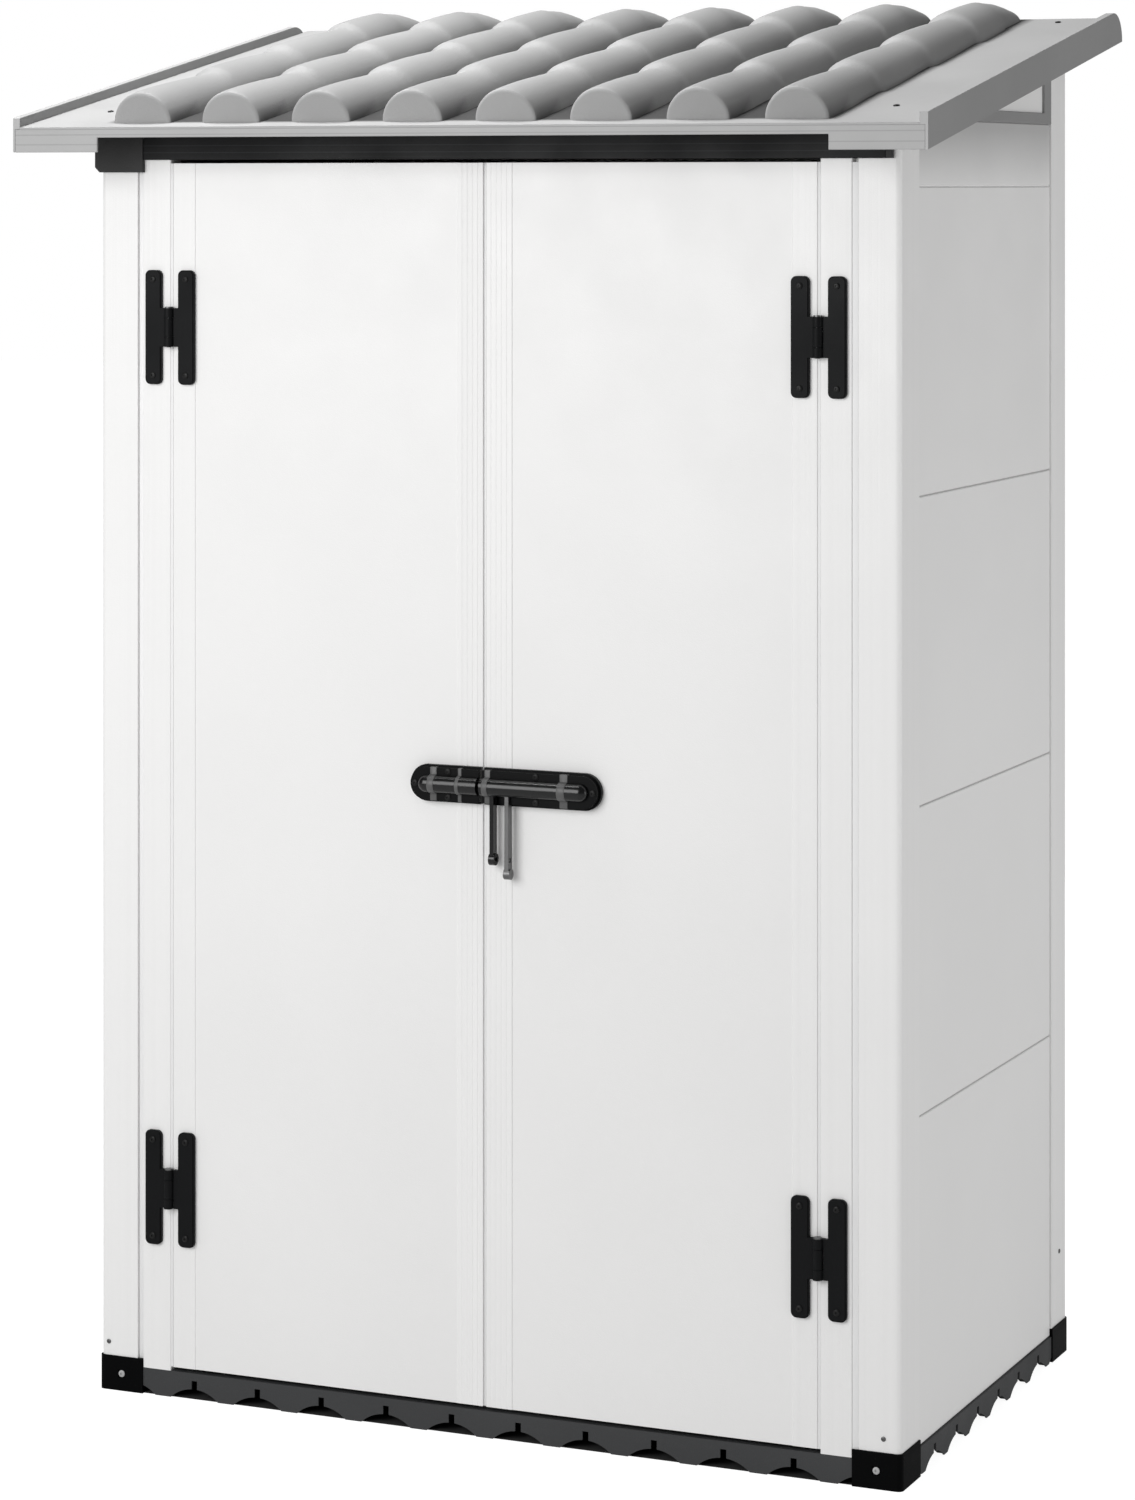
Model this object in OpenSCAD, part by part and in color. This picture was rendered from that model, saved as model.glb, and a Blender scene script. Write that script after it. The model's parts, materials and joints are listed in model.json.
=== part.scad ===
// Resin storage shed with a lean-to tile roof and two hinged doors.
// The model is built with X = 0 in the middle of the front, Y = 0 on the front wall face and Z = 0 on the
// ground, and at_origin() then moves the middle of its plan to the origin.

/* [Walls] */
// Outer width over the corner posts
wall_w = 1240; // [1150:5:1400]
// Outer depth over the corner posts
wall_d = 745; // [700:5:900]
// Height of the first wall board
first_board_h = 450; // [400:0.5:460]
// Height of each further wall board
board_h = 423.5; // [400:0.5:440]
// Height of the narrow top board up to the eaves
top_board_h = 82; // [70:1:120]
// Thickness of the hollow wall boards
board_t = 20; // [16:0.5:24]
// Thickness of the skins and webs of the hollow boards
skin = 1.6; // [1.2:0.1:2.5]
// Hollow cells in each board
board_cells = 4; // [3:1:6]
// How far the boards lie back from the faces of the posts
wall_inset = 3; // [1:0.5:6]
// Height of the tongue on top of a board
tongue_h = 8; // [5:0.5:10]
// Thickness of the tongue on top of a board
tongue_t = 8; // [5:0.5:9]
// Edge chamfer along each board seam
seam_chamfer = 2; // [1:0.5:3]

/* [Base] */
// Height of the floor panels
base_h = 38; // [36:1:48]
// Thickness of the floor deck
deck_t = 3; // [2.5:0.5:6]
// Thickness of the skirts and ribs below the deck
rib_t = 4; // [3:0.5:6]
// Drain arches along the front of each floor panel
front_arches = 4; // [3:1:5]
// Drain arches along each side
side_arches = 8; // [7:1:9]
// Width of a drain arch at the ground
arch_w = 78; // [40:1:80]
// Height of a drain arch
arch_h = 15; // [10:1:20]
// Width of the slot above each arch
slot_w = 9; // [6:1:14]
// Height of the top of the slot above the ground
slot_top = 27; // [22:1:32]
// Height of the corner blocks
block_h = 50; // [48:1:60]
// How far the corner blocks stand proud of the walls
block_proud = 2; // [1:0.5:5]
// Wall of the hollow corner blocks
block_wall = 6; // [4:0.5:8]
// Size of the square recess in a block's face
plug_w = 12; // [11:0.5:16]
// Depth of that recess
plug_depth = 1.5; // [1:0.5:2.5]
// Height of the spigot that holds each post
spigot_h = 20; // [10:1:40]

/* [Posts and jambs] */
// Width of a corner post on the front, with its groove
corner_w = 70; // [64:1:80]
// Depth of a corner post on the side
corner_d = 75; // [66:1:90]
// Wall of the hollow posts, jambs and stiles
post_wall = 2.2; // [1.8:0.1:4]
// Rounding of the outer edge of a post
post_round = 8; // [4:1:14]
// Edge chamfer of the jambs and stiles
upright_chamfer = 1; // [0.5:0.1:2]
// Width of the groove between a front post and its jamb
groove_w = 9; // [6:1:12]
// Depth of that groove
groove_d = 10; // [6:1:14]
// Width of a jamb
jamb_w = 46; // [44:1:52]
// Depth of a jamb
jamb_t = 30; // [26:1:36]
// Length of the fin that backs each board end
fin_len = 12; // [8:1:20]
// Thickness of that fin
fin_t = 3; // [2:0.5:4]

/* [Lintel] */
// Distance from the lintel's lower edge to the roof sheet at the eaves
lintel_drop = 43.5; // [36:1:60]
// Thickness of the lintel's front plate
lintel_plate = 6; // [4:0.5:8]
// Depth of the lintel behind the wall face
lintel_depth = 40; // [36:1:60]
// How far the end cap reaches below the lintel
cap_drop = 18; // [10:1:30]
// Width of the end cap
cap_w = 80; // [60:1:100]
// How far the end cap stands proud of the post's side
cap_proud = 6.7; // [4:0.1:9]
// How far the end cap stands proud of the lintel's plate
cap_step = 1.5; // [0.5:0.5:3]
// Depth of the end cap on the post's side
cap_return = 30; // [20:1:50]
// Chamfer of the end cap's lower outer edge
cap_chamfer = 7.5; // [3:0.5:12]
// Bare stretch of post beside the lintel's other end
lintel_end_gap = 10; // [4:1:20]

/* [Roof] */
// Slope of the roof in degrees
roof_slope = 10.8; // [8:0.1:16]
// Overhang in front of the wall
front_overhang = 116; // [80:1:160]
// Overhang behind the wall
rear_overhang = 29; // [20:1:80]
// Overhang at each side
side_overhang = 79; // [60:1:120]
// Distance of the roof screws from the outer faces of the posts
roof_screw_inset = 10; // [9:0.5:13]
// Width of the solid block in a post's top that takes a roof screw
screw_block_w = 20; // [19:1:26]
// Height of that block
screw_block_h = 25; // [20:1:40]
// Thickness of the roof sheet and of the tile shells
sheet_t = 3; // [2:0.5:4]
// Tile rows on each half of the roof
half_rows = 4; // [3:1:4]
// Distance between tile rows
tile_pitch = 143.5; // [120:0.5:150]
// Radius of a tile at its thick lower end
tile_r = 48; // [40:0.5:54]
// Radius of a tile at its thin upper end
tile_r_thin = 41; // [36:0.5:46]
// Radius of a tile row at its closed rear end
tile_r_end = 30; // [24:0.5:36]
// Length over which a row narrows towards that end
tile_end_len = 50; // [20:1:60]
// Tiles in one row
tile_count = 4; // [3:1:5]
// Distance of the tile rows from the front edge of the roof
tile_set_back = 31; // [20:1:50]
// Distance of the tile rows from the rear edge of the roof
tile_rear_gap = 12; // [8:1:40]
// Height of the side rim above the roof sheet
rim_h = 14; // [8:1:24]
// Width of the side rim
rim_w = 12; // [9:1:20]
// Wall of the verge boards and of the eaves fascia
verge_t = 4; // [3:0.5:6]
// How far verge and fascia hang below the roof sheet
fascia_drop = 33; // [24:1:60]
// How far the middle of the fascia hangs below the roof sheet
notch_drop = 12; // [6:1:20]
// Distance of the notch's ends from the wall's outer faces
notch_inset = 61; // [20:1:120]
// Width of the ledge that carries the edge of the roof sheet
ledge_w = 30; // [20:1:50]
// Width of the rafter and depth of the rear rail
rafter_w = 30; // [20:1:40]
// Height of the rafter and of the rear rail
rafter_h = 35; // [25:1:50]

/* [Gable] */
// Height of the gable's lower edge above the eaves
gable_rise = 11; // [0:1:20]
// Lower bar of the gable frame
gable_bar = 16; // [12:1:24]
// Rear bar of the gable frame
gable_rear_bar = 32; // [20:1:50]
// Upper bar of the gable frame
gable_top_bar = 14; // [10:1:24]
// Depth of the recess inside the gable frame
gable_recess = 8; // [4:0.5:10]
// Thickness of the panel in that recess
gable_panel_t = 4; // [2:0.5:4]

/* [Doors] */
// Thickness of the door stiles
door_t = 28; // [24:1:30]
// Thickness of the door panels
panel_t = 20; // [16:1:24]
// How far the door panels lie behind the stiles
panel_set_back = 1; // [0.5:0.5:3]
// Width of the hinge stiles
stile_w = 37; // [36:1:50]
// Width of the meeting stiles
meeting_w = 40; // [30:1:60]
// Upright grooves in the face of a meeting stile
stile_grooves = 4; // [3:1:6]
// Width of those grooves
stile_groove_w = 1.5; // [0.8:0.1:2]
// Depth of those grooves
stile_groove_d = 1; // [0.5:0.1:1.5]
// Hollow cells in a door panel
panel_cells = 8; // [5:1:12]
// Gap beside the hinges
hinge_gap = 4; // [3:0.5:6]
// Gap between the two doors
meeting_gap = 5; // [4:0.5:8]
// Gap below the doors
door_foot_gap = 6; // [3:0.5:10]
// Gap above the doors
door_head_gap = 5; // [3:0.5:10]

/* [Hinges] */
// Height of a hinge
hinge_h = 166; // [120:1:200]
// Width of a hinge bar
hinge_bar_w = 26.5; // [20:0.5:32]
// Rounding of the corners of a hinge bar
hinge_round = 8; // [4:0.5:9.5]
// Distance between the middles of the two bars
hinge_spread = 54; // [50:0.5:60]
// Thickness of a hinge leaf
hinge_t = 7; // [5:0.5:8]
// Step round the raised face of a hinge bar
hinge_step = 1.5; // [1:0.5:3]
// Height of that raised face
hinge_step_t = 2; // [1:0.5:3]
// Height of the knuckles together
knuckle_h = 56; // [40:1:80]
// Radius of a knuckle
knuckle_r = 7; // [6:0.5:8]
// Radius of the hinge pin
pin_r = 3; // [2:0.5:4]
// Radius of the pin's head
pin_head_r = 6; // [5:0.5:7]
// Height of the pin's head
pin_head_h = 2; // [1:0.5:4]
// Distance of the lower hinges' middle above the foot of the doors
hinge_low_rise = 259.5; // [120:0.5:450]
// Distance of the upper hinges' middle below the head of the doors
hinge_high_drop = 238; // [120:1:450]

/* [Latch] */
// Height of the bolt above the ground
latch_z = 917; // [700:1:1100]
// Height of the latch plates
latch_h = 52; // [46:1:70]
// Length of the keeper
keeper_len = 109.5; // [90:0.5:140]
// Length of the bolt housing
housing_len = 179.5; // [170:0.5:220]
// Thickness of the latch base plates
plate_t = 6; // [4:0.5:6]
// Step round the raised body on those plates
latch_step = 3; // [2:0.5:4]
// Distance of the end screws from the round ends of the latch
latch_screw_inset = 10; // [9:0.5:14]
// Distance of the other latch screws from half the plate's length
latch_screw_shift = 7; // [0:0.5:12]
// Width of the grooves across the latch
band_w = 4; // [2:0.5:6]
// Distance of the bolt's axis from the door face
bolt_y = 14; // [13:0.5:18]
// Radius of the round bolt barrel
barrel_r = 13; // [10:0.5:14]
// Radius of the bolt
bolt_r = 6; // [4:0.5:7]
// Length of the bolt
bolt_len = 136; // [100:1:145]
// Travel of the bolt
bolt_travel = 15; // [10:0.5:15]
// Free depth of its bores behind the bolt's ends
bolt_end_gap = 2; // [1:0.5:6]
// Thickness of the two padlock arms
arm_t = 6; // [4:0.5:6]
// Depth of the two padlock arms
arm_d = 12; // [10:0.5:13]
// Distance of the padlock eyes below the bolt
eye_drop = 100.5; // [60:0.5:120]
// Radius of the bore of the padlock eyes
eye_r = 3.5; // [2.5:0.25:4]
// Radius of the housing's eye
eye_boss_r = 8.5; // [6.5:0.5:9]
// Thickness of the housing's eye
eye_boss_t = 9; // [7:0.5:9]
// Distance of the housing's arm from the end of the housing
arm_x = 17.5; // [14:0.5:20]
// Distance of the knob on the bolt's arm below the bolt
knob_drop = 120; // [115:0.5:140]
// Radius of that knob
knob_r = 7.5; // [5:0.5:8]
// Thickness of that knob
knob_t = 10; // [8:0.5:10]

/* [Fasteners and clearances] */
// Radius of the screw heads
screw_head_r = 4.5; // [3.5:0.5:5.5]
// Height of the screw heads
screw_head_h = 2; // [1:0.25:2.5]
// Radius of the screw shanks
screw_r = 2; // [1.5:0.25:2.5]
// Length of a screw behind the piece that it holds
screw_grip = 12; // [8:1:16]
// Radial clearance of the pins and of the bolt
running_gap = 0.08; // [0.04:0.01:0.1]
// Clearance between fixed pieces that slide together
fit_gap = 0.3; // [0.1:0.05:0.5]
// Clearance between pieces that pass each other
pass_gap = 0.5; // [0.3:0.1:1]

/* [Hidden] */
$fn = 48;

white = "#f1f1ef";
light_grey = "#b9babb";
tile_grey = "#97989a";
dark_grey = "#4b4c4f";
black = "#1d1e20";
steel = "#8d9093";

half_w = wall_w / 2;
roof_front = -front_overhang;
roof_rear = wall_d + rear_overhang;
roof_half_w = half_w + side_overhang;
plan_mid_y = (roof_front + roof_rear) / 2;
sky = 400;
over = 1;

seam_0 = base_h + first_board_h;
seam_3 = seam_0 + 3 * board_h;
// Height of the roof sheet's underside at the front edge
eave_z = seam_3 + top_board_h;
gable_z = eave_z + gable_rise;
lintel_z = eave_z - lintel_drop;
door_z0 = base_h + door_foot_gap;
door_z1 = lintel_z - door_head_gap;
door_h = door_z1 - door_z0;
jamb_edge = half_w - corner_w - jamb_w;
door_edge = jamb_edge - hinge_gap;
pin_x = jamb_edge - hinge_gap / 4;
pin_y = -(knuckle_r + pass_gap);
meeting_edge = meeting_gap / 2;
panel_edge = door_edge - stile_w;
panel_inner_edge = meeting_edge + meeting_w;

side_len = wall_d - 2 * corner_d;
gable_y0 = corner_d;
gable_y1 = wall_d - corner_d;
recess_y0 = max(gable_y0 + gable_top_bar,
    roof_front + (gable_rise + gable_bar + gable_top_bar + 4 * fit_gap) / tan(roof_slope));
recess_y1 = gable_y1 - gable_rear_bar;
verge_h = fascia_drop + sheet_t + rim_h;
rear_len = wall_w - 2 * corner_w;
board_foot = tongue_h + skin + fit_gap;
board_head = skin + seam_chamfer / 2;
rail_y = wall_d - wall_inset - board_t - rafter_w;

row_len = (roof_rear - roof_front - tile_set_back - tile_rear_gap) / cos(roof_slope);
tile_len = row_len / tile_count;
// Outline of one tile: share of its length, and share of the way from the thick radius to the thin one
tile_steps = [[0, 0.45], [0.06, 0], [0.3, 0.1], [0.97, 1]];
// Outline of a row's rear end: share of its length, and share of the way from the thin radius to the end's
end_steps = [[0, 0], [0.5, 0.3], [1, 1]];

floor_w = wall_w / 3;
front_pitch = floor_w / front_arches;
side_pitch = wall_d / side_arches;
arch_r = (arch_w * arch_w / 4 + arch_h * arch_h) / (2 * arch_h);

hinge_low_z = door_z0 + hinge_low_rise;
hinge_high_z = door_z1 - hinge_high_drop;
hinge_zs = [hinge_low_z, hinge_high_z];
hinge_bar_x = hinge_spread / 2;
hinge_screw_z = hinge_h / 2 - hinge_bar_w / 2;
arm_y = -bolt_y;
bolt_x0 = meeting_edge + over;
bolt_arm_x = meeting_edge + arm_x + eye_boss_t / 2 + arm_t / 2 + pass_gap + bolt_travel;
band_xs = [-73, -32, 11, 128];
flange_z = (barrel_r + latch_h / 2 - latch_step) / 2;
keeper_screws = latch_screw_list(keeper_len);
housing_screws = latch_screw_list(housing_len);

// Screw places of a latch plate, as distances from the middle of the doors and from the bolt's height
function latch_screw_list(len) = [
    [meeting_edge + len - latch_screw_inset, 0],
    [meeting_edge + len / 2 - latch_screw_shift, flange_z],
    [meeting_edge + len / 2 - latch_screw_shift, -flange_z]
];

// Height of the roof sheet's underside above a place along the depth
function roof_z(y) = eave_z + (y - roof_front) * tan(roof_slope);

// Puts the middle of the plan on the origin
module at_origin() translate([0, -plan_mid_y, 0]) children();

// Mirrors a right-hand piece to the left where side is -1
module on_side(side) mirror([side < 0 ? 1 : 0, 0, 0]) children();

// Extrudes a drawing in Y and Z along X
module yz_prism(x0, x1) translate([x0, 0, 0]) rotate([90, 0, 90]) linear_extrude(x1 - x0) children();

// A strip that follows the roof from y0 to y1, between two heights above the sheet's underside
module roof_strip(y0, y1, low, high) polygon([
    [y0, roof_z(y0) + low],
    [y1, roof_z(y1) + low],
    [y1, roof_z(y1) + high],
    [y0, roof_z(y0) + high]
]);

// Keeps what lies below the underside of the roof sheet
module under_roof() difference() {
    children();
    yz_prism(-roof_half_w, roof_half_w) roof_strip(roof_front, roof_rear, 0, sky);
}

// A rod along X
module x_rod(x0, x1, y, z, r) translate([x0, y, z]) rotate([0, 90, 0]) cylinder(h = x1 - x0, r = r);

// A rod along Y
module y_rod(x, y0, y1, z, r) translate([x, y0, z]) rotate([-90, 0, 0]) cylinder(h = y1 - y0, r = r);

// Floor

module floor_panel(index) {
    x0 = -half_w + index * floor_w;
    color(dark_grey) at_origin() difference() {
        translate([x0, 0, 0]) cube([floor_w, wall_d, base_h]);
        for (side = [-1, 1], y = [0, wall_d - corner_d])
            if (index == 1 + side) translate([side < 0 ? -half_w : half_w - corner_w, y, -over])
                cube([corner_w, corner_d, base_h + 2 * over]);
        for (i = [0 : front_arches - 1], j = [0 : side_arches - 1])
            if (!is_corner_cell(index, i, j))
                translate([x0 + i * front_pitch + rib_t / 2, j * side_pitch + rib_t / 2, -over])
                    cube([front_pitch - rib_t, side_pitch - rib_t, base_h - deck_t + over]);
        for (i = [0 : front_arches - 1]) {
            x = x0 + (i + 0.5) * front_pitch;
            y_rod(x, -over, wall_d + over, arch_h - arch_r, arch_r);
            translate([x - slot_w / 2, -over, 0]) cube([slot_w, wall_d + 2 * over, slot_top]);
        }
        for (j = [0 : side_arches - 1]) {
            y = (j + 0.5) * side_pitch;
            x_rod(x0 - over, x0 + floor_w + over, y, arch_h - arch_r, arch_r);
            translate([x0 - over, y - slot_w / 2, 0]) cube([floor_w + 2 * over, slot_w, slot_top]);
        }
    }
}

// The cells under the four corners stay solid round the corner blocks
function is_corner_cell(index, i, j) =
    (j == 0 || j == side_arches - 1) && ((index == 0 && i == 0) || (index == 2 && i == front_arches - 1));

// Outline of a corner block or post, with its outer edge rounded, its outer corner at half_w, 0
module corner_outline(w, d, r) {
    translate([half_w - w, 0]) square([w - r, d]);
    translate([half_w - r - over, r]) square([r + over, d - r]);
    translate([half_w - r, r]) circle(r);
}

module corner_blocks() color(black) at_origin() {
    for (side = [-1, 1]) on_side(side) {
        corner_block();
        translate([0, wall_d, 0]) mirror([0, 1, 0]) corner_block();
    }
}

module corner_block() {
    inside = post_wall + fit_gap;
    difference() {
        translate([block_proud, -block_proud, 0]) linear_extrude(block_h)
            corner_outline(corner_w + block_proud, corner_d + block_proud, post_round);
        translate([half_w - corner_w + block_wall, block_wall, -over])
            cube([corner_w - 2 * block_wall, corner_d - 2 * block_wall, block_h - block_wall + over]);
        translate([half_w - corner_w / 2 - plug_w / 2, -block_proud - over, block_h / 2 - plug_w / 2])
            cube([plug_w, over + plug_depth, plug_w]);
        y_rod(half_w - corner_w / 2, -block_proud, screw_grip, block_h / 2, screw_r + fit_gap);
    }
    translate([-inside, inside, block_h]) linear_extrude(spigot_h)
        corner_outline(corner_w - groove_w - 2 * inside, corner_d - 2 * inside, post_round - inside);
}

// Posts, jambs and lintel

// Hollow post outline: a rounded box and the set-back strip that forms the groove
module post_outline(grooved) {
    box_w = corner_w - (grooved ? groove_w : 0);
    difference() {
        corner_outline(box_w, corner_d, post_round);
        translate([-post_wall, post_wall])
            corner_outline(box_w - 2 * post_wall, corner_d - 2 * post_wall, post_round - post_wall);
    }
    if (grooved) translate([half_w - corner_w, groove_d]) square([groove_w, jamb_t - groove_d]);
    translate([half_w - wall_inset - board_t - fit_gap - fin_t, corner_d - over])
        square([fin_t, fin_len + over]);
}

// Solid block in the outer corner of a post's top, with its upper end at height z or above
module screw_block(z) translate([-post_wall / 2, post_wall / 2, z - screw_block_h]) linear_extrude(sky)
    corner_outline(screw_block_w, screw_block_w, post_round - post_wall / 2);

module front_post(side) color(white) at_origin() on_side(side) difference() {
    under_roof() {
        translate([0, 0, block_h]) linear_extrude(eave_z + sky - block_h) post_outline(true);
        screw_block(roof_z(0));
    }
    roof_screw_holes();
}

module rear_post(side) color(white) at_origin() on_side(side) difference() {
    under_roof() translate([0, wall_d, 0]) mirror([0, 1, 0]) {
        translate([0, 0, block_h]) linear_extrude(eave_z + sky - block_h) {
            post_outline(false);
            translate([half_w - corner_w - fin_len, wall_inset + board_t + fit_gap])
                square([fin_len + over, fin_t]);
        }
        screw_block(roof_z(wall_d));
    }
    roof_screw_holes();
}

// A hollow upright with chamfered front edges, from x0 to x1 and 0 to depth
module hollow_upright(x0, x1, depth, height) linear_extrude(height) difference() {
    polygon([
        [x0, upright_chamfer], [x0 + upright_chamfer, 0],
        [x1 - upright_chamfer, 0], [x1, upright_chamfer],
        [x1, depth], [x0, depth]
    ]);
    translate([x0 + post_wall, post_wall]) square([x1 - x0 - 2 * post_wall, depth - 2 * post_wall]);
}

module jamb(side) color(white) at_origin() on_side(side) difference() {
    translate([0, 0, base_h]) hollow_upright(jamb_edge, half_w - corner_w, jamb_t, lintel_z - base_h);
    hinge_screw_holes(hinge_bar_x);
}

module lintel() color(black) at_origin() under_roof() {
    translate([-half_w + cap_w - cap_proud, -lintel_plate, lintel_z])
        cube([wall_w - cap_w + cap_proud - 2 * lintel_end_gap, lintel_plate, sky]);
    translate([-rear_len / 2, 0, lintel_z]) difference() {
        cube([rear_len, lintel_depth, sky]);
        translate([-over, post_wall, post_wall])
            cube([rear_len + 2 * over, lintel_depth - 2 * post_wall, sky]);
    }
}

module lintel_end_caps() color(black) at_origin() under_roof() {
    x0 = -half_w - cap_proud;
    front = lintel_plate + cap_step;
    cut = cap_chamfer * sqrt(2);
    difference() {
        union() {
            translate([x0, -front, lintel_z - cap_drop]) cube([cap_w, front, sky]);
            translate([x0, -front, lintel_z - cap_drop]) cube([cap_proud, front + cap_return, sky]);
        }
        translate([x0, 0, lintel_z - cap_drop]) rotate([0, 45, 0])
            cube([cut, 2 * (front + cap_return), cut], center = true);
    }
    translate([half_w - 2 * lintel_end_gap, -lintel_plate, lintel_z])
        cube([lintel_end_gap, lintel_plate, sky]);
}

// Walls

// Cross-section of a hollow board: X through the wall from its outer face, Y up
module board_section(h, tongued) {
    cell_h = (h - board_foot - board_head) / board_cells;
    difference() {
        polygon([
            [0, seam_chamfer], [seam_chamfer, 0],
            [board_t, 0], [board_t, h],
            [seam_chamfer, h], [0, h - seam_chamfer]
        ]);
        for (i = [0 : board_cells - 1])
            translate([skin, board_foot + i * cell_h + skin]) square([board_t - 2 * skin, cell_h - skin]);
        translate([board_t / 2 - tongue_t / 2 - fit_gap, -over])
            square([tongue_t + 2 * fit_gap, tongue_h + fit_gap + over]);
    }
    if (tongued) translate([board_t / 2 - tongue_t / 2, h - over]) square([tongue_t, tongue_h + over]);
}

// Foot height and height of a board, counted from 1; the fifth is the top board
function board_z(index) = index == 1 ? base_h : seam_0 + (index - 2) * board_h;
function board_height(index, top) = index == 1 ? first_board_h : index == 5 ? top - seam_3 : board_h;

module side_board(side, index) color(white) at_origin() on_side(side)
    translate([half_w - wall_inset, corner_d + side_len, board_z(index)]) rotate([90, 0, 0])
        linear_extrude(side_len) mirror([1, 0]) board_section(board_height(index, gable_z), index < 5);

module rear_board(index) color(white) at_origin() under_roof()
    translate([-rear_len / 2, wall_d - wall_inset, board_z(index)]) rotate([90, 0, 90])
        linear_extrude(rear_len) mirror([1, 0]) board_section(board_height(index, roof_z(wall_d)), index < 5);

module rear_rail() color(white) at_origin() under_roof()
    translate([-rear_len / 2 + fin_len, rail_y, roof_z(rail_y) - rafter_h]) difference() {
        cube([rear_len - 2 * fin_len, rafter_w, sky]);
        translate([-over, post_wall, post_wall])
            cube([rear_len, rafter_w - 2 * post_wall, rafter_h - 2 * post_wall]);
    }

module roof_rafter() color(white) at_origin() difference() {
    yz_prism(-rafter_w / 2, rafter_w / 2) roof_strip(lintel_depth, rail_y, -rafter_h, -fit_gap);
    yz_prism(-rafter_w / 2 + post_wall, rafter_w / 2 - post_wall)
        roof_strip(lintel_depth - over, rail_y + over, post_wall - rafter_h, -post_wall - fit_gap);
}

// Gable

// The field inside the gable's bars, drawn smaller by an edge clearance
module gable_field(edge) polygon([
    [recess_y0 + edge, gable_z + gable_bar + edge],
    [recess_y1 - edge, gable_z + gable_bar + edge],
    [recess_y1 - edge, roof_z(recess_y1) - gable_top_bar - edge],
    [recess_y0 + edge, roof_z(recess_y0) - gable_top_bar - edge]
]);

module gable_frame(side) color(light_grey) at_origin() on_side(side) difference() {
    yz_prism(half_w - wall_inset - board_t, half_w) polygon([
        [gable_y0, gable_z], [gable_y1, gable_z],
        [gable_y1, roof_z(gable_y1) - fit_gap], [gable_y0, roof_z(gable_y0) - fit_gap]
    ]);
    yz_prism(half_w - gable_recess, half_w + over) gable_field(0);
}

module gable_panels() color(white) at_origin() for (side = [-1, 1]) on_side(side)
    yz_prism(half_w - gable_recess, half_w - gable_recess + gable_panel_t) gable_field(fit_gap);

// Roof

// Half outline of one tile row, inset by the sheet: the radius swells at each tile's lower end, and the row's
// rear end narrows
function tile_profile(inset) = concat(
    [[0, inset]],
    [for (i = [0 : tile_count - 1], p = tile_steps) if ((i + p[0]) * tile_len < row_len - tile_end_len)
        [tile_r - p[1] * (tile_r - tile_r_thin) - inset, max(inset, (i + p[0]) * tile_len)]],
    [for (p = end_steps)
        [tile_r_thin - p[1] * (tile_r_thin - tile_r_end) - inset,
            min(row_len - inset, row_len - (1 - p[0]) * tile_end_len)]],
    [[0, row_len - inset]]
);

// The right-hand roof screws: each place has its Y axis pointing down through the sheet
module roof_screw_places() for (y = [roof_screw_inset, wall_d - roof_screw_inset])
    translate([half_w - roof_screw_inset, y, roof_z(y) + sheet_t]) rotate([roof_slope - 90, 0, 0]) children();

module roof_screw_holes() roof_screw_places() y_rod(0, -over, screw_grip + over, 0, screw_r + fit_gap);

module tile_rows(inset) translate([0, roof_front, eave_z]) rotate([roof_slope, 0, 0])
    for (i = [0 : half_rows - 1])
        translate([(i + 0.5) * tile_pitch, tile_set_back / cos(roof_slope), 0])
            rotate([-90, 0, 0]) rotate_extrude() polygon(tile_profile(inset));

module roof_half(side) color(tile_grey) at_origin() on_side(side) difference() {
    union() {
        yz_prism(0, roof_half_w - rim_w) roof_strip(roof_front, roof_rear, 0, sheet_t);
        tile_rows(0);
    }
    tile_rows(sheet_t);
    roof_screw_holes();
    yz_prism(-over, roof_half_w) roof_strip(roof_front - sky, roof_rear + sky, -sky, 0);
}

// Side view of a verge: parallel to the roof, with its upper rear corner rounded off
module verge_outline() {
    arc = [for (a = [0 : 9 : 90]) [roof_rear - verge_h + verge_h * sin(a), verge_h * cos(a) - fascia_drop]];
    polygon(concat(
        [[roof_front, eave_z + sheet_t + rim_h], [roof_front, eave_z - fascia_drop]],
        [for (i = [len(arc) - 1 : -1 : 0]) [arc[i][0], roof_z(arc[i][0]) + arc[i][1]]]
    ));
}

module verge(side) color(light_grey) at_origin() on_side(side) {
    yz_prism(roof_half_w - verge_t, roof_half_w) verge_outline();
    intersection() {
        yz_prism(roof_half_w - rim_w, roof_half_w - verge_t / 2) verge_outline();
        yz_prism(roof_half_w - rim_w, roof_half_w) roof_strip(roof_front, roof_rear, 0, sheet_t + rim_h);
    }
    yz_prism(roof_half_w - ledge_w, roof_half_w - verge_t / 2)
        roof_strip(roof_front + verge_t, roof_rear - verge_h / 2, -sheet_t, 0);
}

module eaves_fascia() color(light_grey) at_origin() under_roof() difference() {
    translate([-roof_half_w + verge_t, roof_front, eave_z - fascia_drop])
        cube([2 * (roof_half_w - verge_t), verge_t, fascia_drop + sheet_t]);
    translate([-half_w + notch_inset, roof_front - over, eave_z - fascia_drop - over])
        cube([wall_w - 2 * notch_inset, verge_t + 2 * over, fascia_drop - notch_drop + over]);
}

// Doors

module door_panel(side) {
    cell = (panel_edge - panel_inner_edge - skin) / panel_cells;
    color(white) at_origin() on_side(side) difference() {
        translate([0, panel_set_back, door_z0]) linear_extrude(door_h) difference() {
            translate([panel_inner_edge, 0]) square([panel_edge - panel_inner_edge, panel_t]);
            for (i = [0 : panel_cells - 1])
                translate([panel_inner_edge + skin + i * cell, skin])
                    square([cell - skin, panel_t - 2 * skin]);
        }
        latch_screw_holes(side);
    }
}

module hinge_stile(side) color(white) at_origin() on_side(side) difference() {
    translate([0, 0, door_z0]) hollow_upright(panel_edge, door_edge, door_t, door_h);
    hinge_screw_holes(-hinge_bar_x);
}

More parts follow.
